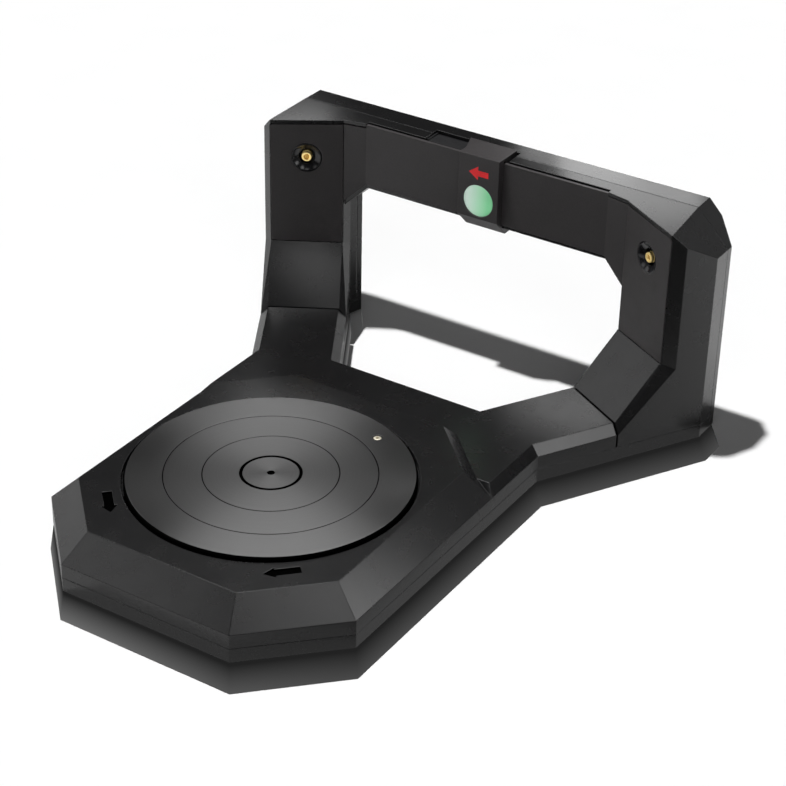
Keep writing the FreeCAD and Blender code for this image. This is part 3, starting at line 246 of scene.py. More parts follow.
shell = {"colour": (0.0048, 0.0047, 0.0049), "drift": 0.10, "cloud": 38, "grain": 0.55, "relief": 0.009,
         "roughness": (0.255, 0.280), "gloss": 0.85, "edge": 0.6, "wearHighlightShare": 0.50,
         "wearHighlightColour": (0.080, 0.080, 0.082)}
shellLook = mouldedPlastic("shellPlastic", shell)
deckLook = mouldedPlastic("deckPlastic", shell, arrowPits)
panelLook = mouldedPlastic("panelPlastic", {
    "colour": (0.0360, 0.0328, 0.0336), "drift": 0.06, "cloud": 30, "grain": 0.45, "relief": 0.008,
    "roughness": (0.42, 0.50), "gloss": 0.50, "edge": 0.5, "wearHighlightShare": 0.45, "wearHighlightColour": (0.090, 0.088, 0.090)})
trimLook = mouldedPlastic("glossTrim", {
    "colour": (0.006, 0.006, 0.007), "drift": 0.10, "cloud": 12, "grain": 0.30, "relief": 0.001,
    "roughness": (0.16, 0.22), "gloss": 0.7, "edge": 0.35, "wearHighlightShare": 0.8, "wearHighlightColour": (0.12, 0.12, 0.122)})
rubberLook = mouldedPlastic("footRubber", {
    "colour": (0.022, 0.022, 0.022), "drift": 0.15, "cloud": 8, "grain": 0.35, "relief": 0.02,
    "roughness": (0.70, 0.85), "gloss": 0.3, "edge": 0.4, "wearHighlightShare": 0.4, "wearHighlightColour": (0.05, 0.05, 0.05)})
gearLook = mouldedPlastic("gearPlastic", {
    "colour": (0.74, 0.71, 0.62), "drift": 0.05, "cloud": 20, "grain": 0.4, "relief": 0.004,
    "roughness": (0.32, 0.40), "gloss": 0.5, "edge": 0.4, "wearHighlightShare": 0.3, "wearHighlightColour": (0.82, 0.80, 0.74)})
innerLook = mouldedPlastic("innerPlastic", {
    "colour": (0.014, 0.014, 0.015), "drift": 0.10, "cloud": 16, "grain": 0.5, "relief": 0.010,
    "roughness": (0.45, 0.55), "gloss": 0.30, "edge": 0.4, "wearHighlightShare": 0.3, "wearHighlightColour": (0.05, 0.05, 0.05)})
padLook = mouldedPlastic("glidePad", {
    "colour": (0.80, 0.80, 0.77), "drift": 0.04, "cloud": 6, "grain": 0.3, "relief": 0.003,
    "roughness": (0.30, 0.38), "gloss": 0.5, "edge": 0.3, "wearHighlightShare": 0.2, "wearHighlightColour": (0.86, 0.86, 0.84)})
chipLook = mouldedPlastic("chipPlastic", {
    "colour": (0.018, 0.018, 0.019), "drift": 0.12, "cloud": 5, "grain": 0.25, "relief": 0.006,
    "roughness": (0.40, 0.52), "gloss": 0.5, "edge": 0.25, "wearHighlightShare": 0.3, "wearHighlightColour": (0.05, 0.05, 0.05)})
brassLook = workedMetal("brass", {
    "colour": (0.95, 0.72, 0.30), "line": 0.5, "stretch": (1, 1, 1), "roughness": (0.26, 0.38),
    "metal": 0.8, "relief": 0.003, "paintedGlow": (0.85, 0.34)})
steelLook = workedMetal("steel", {
    "colour": (0.62, 0.62, 0.63), "line": 0.4, "stretch": (1, 1, 1), "roughness": (0.24, 0.36),
    "metal": 1.0, "relief": 0.004})
paleScrewLook = workedMetal("paleScrew", {
    "colour": (0.86, 0.80, 0.64), "line": 0.35, "stretch": (1, 1, 1), "roughness": (0.30, 0.42),
    "metal": 0.5, "relief": 0.003})
darkMetalLook = workedMetal("darkMetal", {
    "colour": (0.045, 0.045, 0.050), "line": 0.5, "stretch": (1, 1, 4), "roughness": (0.36, 0.46),
    "metal": 0.6, "relief": 0.006})


# Turned disc: its sheen runs out from the axis, so it shows as two bright fans. Its grooves, its rim's slope
# and its hole are painted black as shade.
def turnedDisc(name, look):
    made, tree, shader, where = startLook(name)
    middle = vectorStep(tree, "SUBTRACT", where, look["centre"])
    radius = vectorStep(tree, "LENGTH", vectorStep(tree, "MULTIPLY", middle, (1, 1, 0)), (0, 0, 0), "Value")
    rings = tree.nodes.new("ShaderNodeTexNoise")
    rings.noise_dimensions = "1D"
    rings.inputs["Scale"].default_value = 1 / (look["ring"] * mm)
    rings.inputs["Detail"].default_value = 3
    tree.links.new(radius, rings.inputs["W"])
    grain = noiseAt(tree, where, look["grain"], 2)
    cloud = ranged(tree, noiseAt(tree, where, look["cloud"], 3), 0, 1)
    colour, drift = look["colour"], look["drift"]
    base = mixed(tree, cloud, scaledColour(colour, 1 - drift), scaledColour(colour, 1 + drift))
    pale = mixed(tree, look["speckShare"], base, scaledColour(colour, look["speckLight"]))
    base = mixed(tree, ranged(tree, grain, 0, 1), base, pale)
    # painted highlight: edges are painted brighter, partly as wear and partly as the highlight a lit edge
    # shows
    wornAndLitEdge = ranged(tree, edgeShare(tree, look["edge"]), 0.0, look["wearHighlightShare"], 0, 1)
    base = mixed(tree, wornAndLitEdge, base, look["wearHighlightColour"])
    # painted shade: all that lies lower than a thin band under the top is painted black and loses its gloss
    deep = belowShare(tree, where, look["top"] - look["lineWide"] * mm)
    tree.links.new(mixed(tree, deep, base, basics["black"]), shader.inputs["Base Color"])
    tree.links.new(ranged(tree, deep, look["gloss"], 0, 0, 1), shader.inputs["Specular IOR Level"])
    # towards the hub the surface is rougher and its sheen goes all round
    inner, outer, uneven = look["roughness"]
    reach = look["hubReach"] * mm, look["rimReach"] * mm
    slow = ranged(tree, radius, inner, outer, *reach)
    rough = combined(tree, "ADD", slow, ranged(tree, rings.outputs["Fac"], -uneven, uneven))
    tree.links.new(rough, shader.inputs["Roughness"])
    tree.links.new(ranged(tree, radius, *look["fan"], *reach), shader.inputs["Anisotropic"])
    shader.inputs["Anisotropic Rotation"].default_value = look["turned"]
    shader.inputs["IOR"].default_value = look["sheen"]
    allRound = tree.nodes.new("ShaderNodeTangent")
    allRound.direction_type = "RADIAL"
    allRound.axis = "Z"
    tree.links.new(allRound.outputs[0], shader.inputs["Tangent"])
    bumped(tree, shader, combined(tree, "ADD", grain, rings.outputs["Fac"]), look["relief"], look["strength"])
    return made


# turned is the share of a whole turn that lays the sheen along the radius
discLow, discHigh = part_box("turntable_disc")
discLook = turnedDisc("turnedDisc", {
    "centre": tuple((discLow + discHigh) / 2), "top": discHigh.z, "lineWide": 0.22, "cloud": 45,
    "colour": (0.0075, 0.0073, 0.0072), "drift": 0.1, "speckShare": 0.3, "speckLight": 2.0, "grain": 0.5,
    "ring": 1.1, "roughness": (0.58, 0.35, 0.03), "gloss": 0.8, "sheen": 2.0, "turned": 0.25,
    "fan": (0.45, 0.86), "hubReach": 20, "rimReach": 90, "relief": 0.006, "strength": 0.5, "edge": 0.4,
    "wearHighlightShare": 0.7, "wearHighlightColour": (0.075, 0.075, 0.076)})


# Board: green lacquer over copper tracks, with a speckle of solder points.
def circuitBoard(name, look):
    made, tree, shader, where = startLook(name)
    tracks = tree.nodes.new("ShaderNodeTexBrick")
    tracks.inputs["Scale"].default_value = 1 / (look["track"] * mm)
    tracks.inputs["Mortar Size"].default_value = look["gap"]
    tracks.inputs["Color1"].default_value = (*look["colour"], 1)
    tracks.inputs["Color2"].default_value = (*scaledColour(look["colour"], look["dim"]), 1)
    tracks.inputs["Mortar"].default_value = (*look["copper"], 1)
    tree.links.new(where, tracks.inputs["Vector"])
    points = tree.nodes.new("ShaderNodeTexVoronoi")
    points.inputs["Scale"].default_value = 1 / (look["point"] * mm)
    tree.links.new(where, points.inputs["Vector"])
    spot = ranged(tree, points.outputs["Distance"], 1, 0, *look["spot"])
    base = mixed(tree, spot, tracks.outputs["Color"], look["solder"])
    tree.links.new(base, shader.inputs["Base Color"])
    rough = ranged(tree, noiseAt(tree, where, look["cloud"]), *look["roughness"])
    tree.links.new(rough, shader.inputs["Roughness"])
    bumped(tree, shader, tracks.outputs["Fac"], look["relief"], look["strength"])
    return made


boardLook = circuitBoard("circuitBoard", {
    "colour": (0.012, 0.13, 0.050), "dim": 0.85, "copper": (0.03, 0.22, 0.09), "solder": (0.62, 0.62, 0.60),
    "track": 8, "gap": 0.05, "point": 6, "spot": (0.10, 0.16), "cloud": 3, "roughness": (0.25, 0.40),
    "relief": 0.02, "strength": 0.4})


# Coated glass: a colour that drifts across it, a hard clear coat, a little dust, and a painted glow of its
# own colour.
coating = {"dust": 0.8, "dustMost": 0.12, "dustFrom": (0.55, 0.75), "dustColour": (0.8, 0.8, 0.8), "cloud": 5,
           "coatRoughness": 0.03, "wave": 4, "relief": 0.002, "strength": 0.3}


def coatedGlass(name, look):
    made, tree, shader, where = startLook(name)
    share = ranged(tree, part(tree, where, "X"), 0, 1, *look["across"])
    base = mixed(tree, share, look["colour"], look["farColour"])
    dust = noiseAt(tree, where, coating["dust"], 3)
    dust = ranged(tree, dust, 0.0, coating["dustMost"], *coating["dustFrom"])
    base = mixed(tree, dust, base, coating["dustColour"])
    tree.links.new(base, shader.inputs["Base Color"])
    # painted glow: the glass gives off light of its own colour
    tree.links.new(base, shader.inputs["Emission Color"])
    shader.inputs["Emission Strength"].default_value = look["paintedGlow"]
    rough = ranged(tree, noiseAt(tree, where, coating["cloud"]), *look["roughness"])
    tree.links.new(rough, shader.inputs["Roughness"])
    shader.inputs["Coat Weight"].default_value = look["coat"]
    shader.inputs["Coat Roughness"].default_value = coating["coatRoughness"]
    shader.inputs["Metallic"].default_value = look["mirror"]
    bumped(tree, shader, noiseAt(tree, where, coating["wave"], 1), coating["relief"], coating["strength"])
    return made


# across is where the colour starts and ends its drift, in metres; the glow strength is a painted glow that
# the glass gives off, though it is no lamp
filterLook = coatedGlass("filterGlass", {
    "across": (-0.010, 0.008), "colour": (0.70, 0.90, 0.78), "farColour": (0.26, 0.74, 0.38),
    "roughness": (0.12, 0.20), "coat": 0.6, "mirror": 0.0, "paintedGlow": 0.30})
laserLensLook = coatedGlass("laserLens", {
    "across": (-0.2, 0.2), "colour": (0.60, 0.36, 0.08), "farColour": (0.60, 0.36, 0.08),
    "roughness": (0.05, 0.10), "coat": 1.0, "mirror": 0.2, "paintedGlow": 0.35})
cameraLensLook = coatedGlass("cameraLens", {
    "across": (-0.006, 0.006), "colour": (0.020, 0.012, 0.050), "farColour": (0.010, 0.035, 0.045),
    "roughness": (0.03, 0.06), "coat": 1.0, "mirror": 0.2, "paintedGlow": 0.0})
print("finishes made")


slotLooks = {
    "shell": shellLook, "disc": discLook, "panel": panelLook, "gloss_trim": trimLook, "brass": brassLook,
    "lens": cameraLensLook, "filter": filterLook, "foot_rubber": rubberLook, "steel": steelLook,
    "dark_metal": darkMetalLook, "gear_plastic": gearLook, "inner_plastic": innerLook,
    "pad_plastic": padLook, "circuit_board": boardLook, "chip": chipLook}
for row in frame["record"]["subparts"]:
    mesh = nodes[row["node"]].data
    mesh.materials.clear()
    mesh.materials.append(slotLooks[row["material_slot"]])
nodes["base_top_shell"].data.materials[0] = deckLook

# moulded pieces get a small round on every edge, in mm
edgeRounds = {
    "base_bottom_shell": 0.35, "base_top_shell": 0.45, "frame_front_shell": 0.45, "rear_cover": 0.45,
    "right_post_panel": 0.25, "left_post_panel": 0.25, "beam_panel": 0.30, "filter_slider": 0.35,
    "turntable_disc": 0.25, "turntable_hub_cap": 0.25}
# weld is the gap it closes in mm; flat and sharp are degrees between two faces
edgeStyle = {"weld": 0.002, "flat": 0.6, "sharp": 24, "segments": 2}


def roundEdges(piece, radius):
    weld = piece.modifiers.new("weld", "WELD")
    weld.merge_threshold = edgeStyle["weld"] * mm
    clean = piece.modifiers.new("clean", "DECIMATE")
    clean.decimate_type = "DISSOLVE"
    clean.angle_limit = math.radians(edgeStyle["flat"])
    bevel = piece.modifiers.new("round", "BEVEL")
    bevel.width = radius * mm
    bevel.segments = edgeStyle["segments"]
    bevel.limit_method = "ANGLE"
    bevel.angle_limit = math.radians(edgeStyle["sharp"])
    bevel.harden_normals = True
    bevel.miter_outer = "MITER_ARC"


for name, radius in edgeRounds.items():
    roundEdges(nodes[name], radius)
print("nodes finished")


def addPiece(name, mesh, look, body, stands=()):
    mesh.materials.append(look)
    piece = bpy.data.objects.new(name, mesh)
    bpy.context.scene.collection.objects.link(piece)
    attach(piece, body)
    if stands:
        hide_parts(*stands)
    return piece


def meshFrom(bm, name, sharp=32):
    bmesh.ops.recalc_face_normals(bm, faces=bm.faces)
    mesh = bpy.data.meshes.new(name)
    for face in bm.faces:
        face.smooth = True
    bm.to_mesh(mesh)
    bm.free()
    mesh.set_sharp_from_angle(angle=math.radians(sharp))
    return mesh


def turn(bm, profile, start, along, count=72, shape=None, closed=False):
    # profile is (distance along the axis, radius) in mm; shape(index, angle) scales a ring's radius
    along = Vector(along).normalized()
    side = along.cross(Vector((0, 0, 1)) if abs(along.z) < 0.9 else Vector((1, 0, 0))).normalized()
    other = along.cross(side)
    rings = []
    for index, (distance, radius) in enumerate(profile):
        centre = Vector(start) + along * distance * mm
        if radius <= 0:
            rings.append([bm.verts.new(centre)])
            continue
        ring = []
        for step in range(count):
            angle = 2 * math.pi * step / count
            reach = radius * (shape(index, angle) if shape else 1) * mm
            ring.append(bm.verts.new(centre + (side * math.cos(angle) + other * math.sin(angle)) * reach))
        rings.append(ring)
    pairs = list(zip(rings, rings[1:]))
    if closed:
        pairs.append((rings[-1], rings[0]))
    for first, second in pairs:
        for step in range(count):
            following = (step + 1) % count
            if len(first) == 1 and len(second) == 1:
                break
            if len(first) == 1:
                bm.faces.new((first[0], second[step], second[following]))
            elif len(second) == 1:
                bm.faces.new((first[step], second[0], first[following]))
            else:
                bm.faces.new((first[step], second[step], second[following], first[following]))


def centreOf(node):
    low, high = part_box(node)
    return (low + high) / 2


def clustersOf(node, axis, apart=9):
    # places of a node's like solids: (centre, lowest, highest along the axis), in metres
    others = [index for index in range(3) if index != axis]
    groups = []
    for vertex in nodes[node].data.vertices:
        for group in groups:
            if all(abs(vertex.co[index] - group[0][index]) < apart * mm for index in others):
                group.append(vertex.co.copy())
                break
        else:
            groups.append([vertex.co.copy()])
    places = []
    for group in groups:
        low = [min(spot[index] for spot in group) for index in range(3)]
        high = [max(spot[index] for spot in group) for index in range(3)]
        centre = Vector([(a + b) / 2 for a, b in zip(low, high)])
        places.append((centre, low[axis], high[axis]))
    return places


def hexShape(rings):
    # the named rings of a turned profile become a hexagon
    def shape(index, angle):
        if index not in rings:
            return 1
        turned = (angle + math.pi / 6) % (math.pi / 3) - math.pi / 6
        return math.cos(math.pi / 6) / math.cos(turned)
    return shape


# Screws with a rounded head, a hexagon socket and a thread. sunk and round are the most of the head's
# height that the socket and the rounding take.
screw = {"headRadius": 2.8, "headRound": 0.35, "round": 0.3, "socketWidth": 1.25, "socketDepth": 0.9,
         "sunk": 0.6, "drilled": 0.15, "lead": 0.1, "shank": 1.5, "ridge": 0.22, "pitch": 0.8, "neck": 0.3,
         "plainEnd": 0.8, "tipLong": 0.7, "tipShare": 0.6, "sides": 36}
# the rings of a screw's profile that make its socket
socketRings = (1, 2, 3, 4)


def addScrew(bm, start, out, headTall, long):
    # start is the middle of the head's outer face, out points away from the thread
    head, shank, across = screw["headRadius"], screw["shank"], screw["socketWidth"]
    drilled, pitch = screw["drilled"], screw["pitch"]
    depth = min(screw["socketDepth"], headTall * screw["sunk"])
    edge = min(screw["headRound"], headTall * screw["round"])
    profile = [(depth + drilled, 0), (depth, across * 0.8), (depth, across), (screw["lead"], across),
               (0, across + drilled), (0, head - edge), (edge * 0.3, head - edge * 0.3), (edge, head),
               (headTall, head), (headTall, shank)]
    reach = headTall + screw["neck"]
    while reach + pitch < long - screw["plainEnd"]:
        profile += [(reach, shank), (reach + pitch / 2, shank - screw["ridge"])]
        reach += pitch
    profile += [(long - screw["tipLong"], shank), (long, shank * screw["tipShare"]), (long, 0)]
    turn(bm, profile, start, -Vector(out), screw["sides"], hexShape(socketRings))


# axis is the one a set's screws lie along, and out says which end of it their heads are at
screwSets = {
    "base_screw": {"axis": 2, "out": -1, "headTall": 1.95},
    "cover_screw": {"axis": 1, "out": 1, "headTall": 2.15},
    "motor_screw": {"axis": 2, "out": 1, "headTall": 1.6},
}
for label, one in screwSets.items():
    out = Vector()
    out[one["axis"]] = one["out"]
    bm = bmesh.new()
    for start, low, high in clustersOf(label + "s", one["axis"]):
        start[one["axis"]] = high if one["out"] > 0 else low
        addScrew(bm, start, out, one["headTall"], (high - low) / mm)
    addPiece(label + "_set", meshFrom(bm, label + "_set"), steelLook, "base", [label + "s"])
print("screws made")


# Index screw in the disc: a pale head with a hexagon socket, in a thin dark collar.
indexScrew = {"head": 2.95, "socket": 1.2, "socketDeep": 1.8, "drilled": 0.1, "sunk": 0.05, "lead": 0.2,
              "collarInner": 3.05, "collarEdge": 0.1, "collarLead": 0.2}
low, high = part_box("turntable_index_insert")
middle = (low + high) / 2
tall = (high.z - low.z) / mm
radius = (high.x - low.x) / 2 / mm
inner, edge = indexScrew["collarInner"], indexScrew["collarEdge"]
bm = bmesh.new()
turn(bm, [(indexScrew["collarLead"], inner), (0, inner + edge), (0, radius - edge), (edge, radius),
          (tall, radius), (tall, inner)],
     (middle.x, middle.y, high.z), (0, 0, -1), 64, None, True)
addPiece("index_collar", meshFrom(bm, "index_collar"), trimLook, "turntable",
         ["turntable_index_insert"])
head, socket, deep = indexScrew["head"], indexScrew["socket"], indexScrew["socketDeep"]
sunk, lead = indexScrew["sunk"], indexScrew["lead"]
bm = bmesh.new()
turn(bm, [(deep + indexScrew["drilled"], 0), (deep, socket * 0.8), (deep, socket), (lead, socket),
          (sunk, socket + lead), (sunk, head - 0.6), (lead, head - 0.25), (0.5, head), (tall, head),
          (tall, 0)],
     (middle.x, middle.y, high.z), (0, 0, -1), 48, hexShape(socketRings))
addPiece("index_screw", meshFrom(bm, "index_screw"), paleScrewLook, "turntable")
print("index screw made")


# Rubber feet, with two grip rings pressed into each.
foot = {"radius": 8, "round": 0.7, "rings": (3.0, 5.2), "ringWide": 0.5, "ringDeep": 0.5}
bm = bmesh.new()
for centre, low, high in clustersOf("rubber_feet", 2, 20):
    tall = (high - low) / mm
    profile = [(0, 0)]
    for ring in foot["rings"]:
        wide, deep = foot["ringWide"], foot["ringDeep"]
        profile += [(0, ring - wide), (deep, ring - wide * 0.6), (deep, ring + wide * 0.6), (0, ring + wide)]
    edge, radius = foot["round"], foot["radius"]
    profile += [(0, radius - edge), (edge * 0.3, radius - edge * 0.3), (edge, radius)]
    profile += [(tall, radius), (tall, 0)]
    turn(bm, profile, (centre.x, centre.y, low), (0, 0, 1), 64)
addPiece("foot_pads", meshFrom(bm, "foot_pads"), rubberLook, "base", ["rubber_feet"])
print("feet made")


# Lasers: a ring with a shallow dish and a throat, the brass nozzle in it, and a glass in the nozzle.
laser = {"tilt": 30, "ring": 12.2, "ringLong": 9, "rim": 0.5, "dish": 10.6, "dishDeep": 2.5, "throat": 6.6,
         "throatDeep": 7.5, "seat": 4.45, "nozzle": 4.08, "nozzleLong": 30, "nozzleFlat": 3.5, "bore": 2.05,
         "boreDeep": 3.0, "groove": 0.23, "glass": 1.9, "glassThick": 1.3, "glassRise": 0.5, "glassGap": 0.05}
tilt = math.radians(laser["tilt"])
# the steps of a quarter turn that a lens's dome is drawn in
domeLeans = [step * math.pi / 16 for step in range(1, 8)]
for side, label in ((1, "right"), (-1, "left")):
    along = Vector((side * math.sin(tilt), math.cos(tilt), 0))
    rim, ring, long = laser["rim"], laser["ring"], laser["ringLong"]
    bm = bmesh.new()
    turn(bm, [(rim, ring), (rim * 0.3, ring - rim * 0.3), (0, ring - rim), (0, laser["dish"] + 0.25),
              (0.25, laser["dish"]), (laser["dishDeep"], laser["throat"] + 0.5),
              (laser["dishDeep"] + 0.2, laser["throat"]), (laser["throatDeep"], laser["throat"]),
              (laser["throatDeep"], laser["seat"]), (long, laser["seat"]), (long, ring)],
         centreOf(label + "_laser_bezel") - along * long / 2 * mm, along, 128, None, True)
    addPiece(label + "_laser_ring", meshFrom(bm, label + "_laser_ring", 24), trimLook, "base",
             [label + "_laser_bezel"])
    flat, bore, wide, long = laser["nozzleFlat"], laser["bore"], laser["nozzle"], laser["nozzleLong"]
    deep, groove = laser["boreDeep"], laser["nozzle"] - laser["groove"]
    bm = bmesh.new()
    # countersunk bore, flat face, chamfered nose, a groove, and a plain tube behind
    turn(bm, [(deep, 0), (deep, bore - 0.15), (1.0, bore - 0.1), (0.45, bore + 0.25), (0, bore + 0.55),
              (0, flat), (0.5, wide - 0.08), (0.8, wide), (2.4, wide), (2.5, groove), (2.9, groove),
              (3.0, wide), (long - 0.3, wide), (long, wide - 0.28), (long, 0)],
         centreOf(label + "_laser_barrel") - along * long / 2 * mm, along, 96)
    addPiece(label + "_laser_nozzle", meshFrom(bm, label + "_laser_nozzle"), brassLook, "base",
             [label + "_laser_barrel"])
    rise, wide, thick = laser["glassRise"], laser["glass"], laser["glassThick"]
    rear = thick - laser["glassGap"]
    bm = bmesh.new()
    dome = [(-rise * math.cos(lean), wide * math.sin(lean)) for lean in domeLeans]
    turn(bm, [(-rise, 0)] + dome + [(0, wide), (rear, wide), (rear, 0)],
         centreOf(label + "_laser_lens") - along * thick / 2 * mm, along, 48)
    addPiece(label + "_laser_glass", meshFrom(bm, label + "_laser_glass"), laserLensLook, "base",
             [label + "_laser_lens"])
print("lasers made")


# Camera lens behind the filter: its dome ends a little inside its edge.
cameraLens = {"rise": 0.75, "domeShare": 0.98, "lead": 0.1}
low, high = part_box("camera_lens")
rise, reach, thick = cameraLens["rise"], (high.x - low.x) / 2 / mm, (high.y - low.y) / mm
bm = bmesh.new()
dome = [(rise * (1 - math.cos(lean)), reach * math.sin(lean) * cameraLens["domeShare"]) for lean in domeLeans]
turn(bm, [(0, 0)] + dome + [(rise + cameraLens["lead"], reach), (thick, reach), (thick, 0)],
     (0, low.y, centreOf("camera_lens").z), (0, 1, 0), 96)
addPiece("camera_glass", meshFrom(bm, "camera_glass"), cameraLensLook, "base", ["camera_lens"])


# Filter window, slightly hollow on its face, and the red mark above it.
filterWindow = {"round": 0.3, "hollow": 0.18, "rings": 8}
low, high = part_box("filter_glass")
middle = centreOf("filter_glass")
reach, thick = (high.x - low.x) / 2 / mm, (high.y - low.y) / mm
hollow, edge, rings = filterWindow["hollow"], filterWindow["round"], filterWindow["rings"]
bm = bmesh.new()
dish = [(hollow * (ring / rings) ** 2, (reach - edge) * ring / rings) for ring in range(1, rings + 1)]
turn(bm, [(0, 0)] + dish + [(hollow + edge * 0.3, reach - edge * 0.3), (hollow + edge, reach),
                            (thick - edge, reach), (thick, reach - edge), (thick, 0)],
     (middle.x, low.y, middle.z), (0, 1, 0), 128)
addPiece("filter_window", meshFrom(bm, "filter_window", 60), filterLook, "slider", ["filter_glass"])

# height is that of the mark's middle above the floor, sunk how far it reaches into the slider
mark = {"length": 17.0, "head": 8.0, "half": 2.3, "headHalf": 5.6, "height": 167.6, "thick": 0.14,
        "sunk": 0.05, "round": 0.06, "colour": (0.90, 0.016, 0.022)}
markLook = mouldedPlastic("redPrint", {
    "colour": mark["colour"], "drift": 0.08, "cloud": 6, "grain": 0.3, "relief": 0.004,
    "roughness": (0.38, 0.46), "gloss": 0.45, "edge": 0.2, "wearHighlightShare": 0.25, "wearHighlightColour": (0.95, 0.10, 0.09)})
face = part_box("filter_slider")[0].y
half, headHalf = mark["half"], mark["headHalf"]
left, right = -mark["length"] / 2, mark["length"] / 2
neck = left + mark["head"]
corners = [(left, 0), (neck, headHalf), (neck, half), (right, half), (right, -half), (neck, -half),
           (neck, -headHalf)]
bm = bmesh.new()
front, back = ([bm.verts.new((x * mm, face + deep * mm, (mark["height"] + z) * mm)) for x, z in corners]
               for deep in (-mark["thick"], mark["sunk"]))
bm.faces.new(front)
bm.faces.new(list(reversed(back)))
for index in range(len(corners)):
    following = (index + 1) % len(corners)
    bm.faces.new((front[index], back[index], back[following], front[following]))
slideArrow = addPiece("slide_arrow", meshFrom(bm, "slide_arrow"), markLook, "slider")
rounding = slideArrow.modifiers.new("round", "BEVEL")
rounding.width = mark["round"] * mm
rounding.segments = edgeStyle["segments"]
print("filter and mark made")


# Power button: a dished cap with a flange that keeps it in the wall.
button = {"dish": 0.5, "edge": 0.45, "flange": 1, "flangeAt": 4.25, "flangeThick": 1.55}
low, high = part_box("power_button")
middle = (low + high) / 2
radius = (high.x - low.x) / 2 / mm - button["flange"]
wide = radius + button["flange"]
long = (high.y - low.y) / mm
dish, edge, near = button["dish"], button["edge"], button["flangeAt"]
far = near + button["flangeThick"]
bm = bmesh.new()
turn(bm, [(dish, 0), (dish * 0.9, radius * 0.3), (dish * 0.5, radius * 0.6), (0, radius - edge - 0.25),
          (0, radius - edge), (edge * 0.3, radius - edge * 0.3), (edge, radius), (near, radius), (near, wide),
          (far, wide), (far, radius), (long, radius), (long, 0)],
     (middle.x, high.y, middle.z), (0, -1, 0), 72)
addPiece("power_button_cap", meshFrom(bm, "power_button_cap"), trimLook, "button",
         ["power_button"])
print("button made")


# Stepper motor: end bells with cut corners and a narrower stack between them.
motor = {"corner": 4.5, "bell": 4.2, "step": 0.5, "edge": 0.6}
low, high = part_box("drive_motor")
half = (high.x - low.x) / 2 / mm
middle = (low + high) / 2
tall = (high.z - low.z) / mm
bell, edge = motor["bell"], motor["edge"]
sections = [(0, edge), (edge, 0), (bell, 0), (bell, motor["step"]), (tall - bell, motor["step"]),
            (tall - bell, 0), (tall - edge, 0), (tall, edge)]
bm = bmesh.new()
rings = []
for level, inset in sections:
    flat, cut = half - inset, motor["corner"]
    plan = [(flat, flat - cut), (flat - cut, flat), (cut - flat, flat), (-flat, flat - cut),
            (-flat, cut - flat), (cut - flat, -flat), (flat - cut, -flat), (flat, cut - flat)]
    rings.append([bm.verts.new((middle.x + x * mm, middle.y + y * mm, low.z + level * mm)) for x, y in plan])
bm.faces.new(rings[0])
bm.faces.new(rings[-1])
for first, second in zip(rings, rings[1:]):
    for step in range(len(plan)):
        following = (step + 1) % len(plan)
        bm.faces.new((first[step], second[step], second[following], first[following]))
addPiece("stepper_motor", meshFrom(bm, "stepper_motor", 20), darkMetalLook, "base",
         ["drive_motor"])
print("motor made")


def stagePiece(name, bm):
    mesh = bpy.data.meshes.new(name)
    bm.to_mesh(mesh)
    bm.free()
    piece = bpy.data.objects.new(name, mesh)
    bpy.context.scene.collection.objects.link(piece)
    return piece


# Floor: white paper, and along the base a painted shadow strip that stands in for the shade of its low edge.
# half, level and the reaches are in metres. Glossy rays see the paper with a painted reflection: at the left
# at a set level and at the right graded darker towards the front, by the square of rear.
floor = {"half": 6.0, "steps": 12, "level": -0.0003, "colour": (0.90, 0.90, 0.90), "speck": 60,
         "speckShare": 0.99, "mirrored": 0.55, "rear": (0.20, 0.95), "rearReach": (-0.02, 0.33),
         "rightReach": (0.05, 0.20), "roughness": 0.9, "gloss": 0.1}
steps, half = floor["steps"], floor["half"]
bm = bmesh.new()
grid = [[bm.verts.new(((2 * x / steps - 1) * half, (2 * y / steps - 1) * half, floor["level"]))
         for x in range(steps + 1)] for y in range(steps + 1)]
for y in range(steps):
    for x in range(steps):
        bm.faces.new((grid[y][x], grid[y][x + 1], grid[y + 1][x + 1], grid[y + 1][x]))
floorPiece = stagePiece("studioFloor", bm)
floorLook, tree, shader, where = startLook("floorPaper")
paper = ranged(tree, noiseAt(tree, where, floor["speck"], 2), 0, 1)
white = mixed(tree, paper, scaledColour(floor["colour"], floor["speckShare"]), floor["colour"])
# painted reflection: glossy rays see the paper at a set level at the left and, at the right, darker towards
# the front
rear = ranged(tree, part(tree, where, "Y"), *floor["rear"], *floor["rearReach"])
right = ranged(tree, part(tree, where, "X"), 0, 1, *floor["rightReach"])
mirrored = mixed(tree, right, (floor["mirrored"],) * 3, combined(tree, "MULTIPLY", rear, rear))
ray = tree.nodes.new("ShaderNodeLightPath")
tree.links.new(mixed(tree, ray.outputs["Is Glossy Ray"], white, mirrored), shader.inputs["Base Color"])
shader.inputs["Roughness"].default_value = floor["roughness"]
shader.inputs["Specular IOR Level"].default_value = floor["gloss"]
floorPiece.data.materials.append(floorLook)

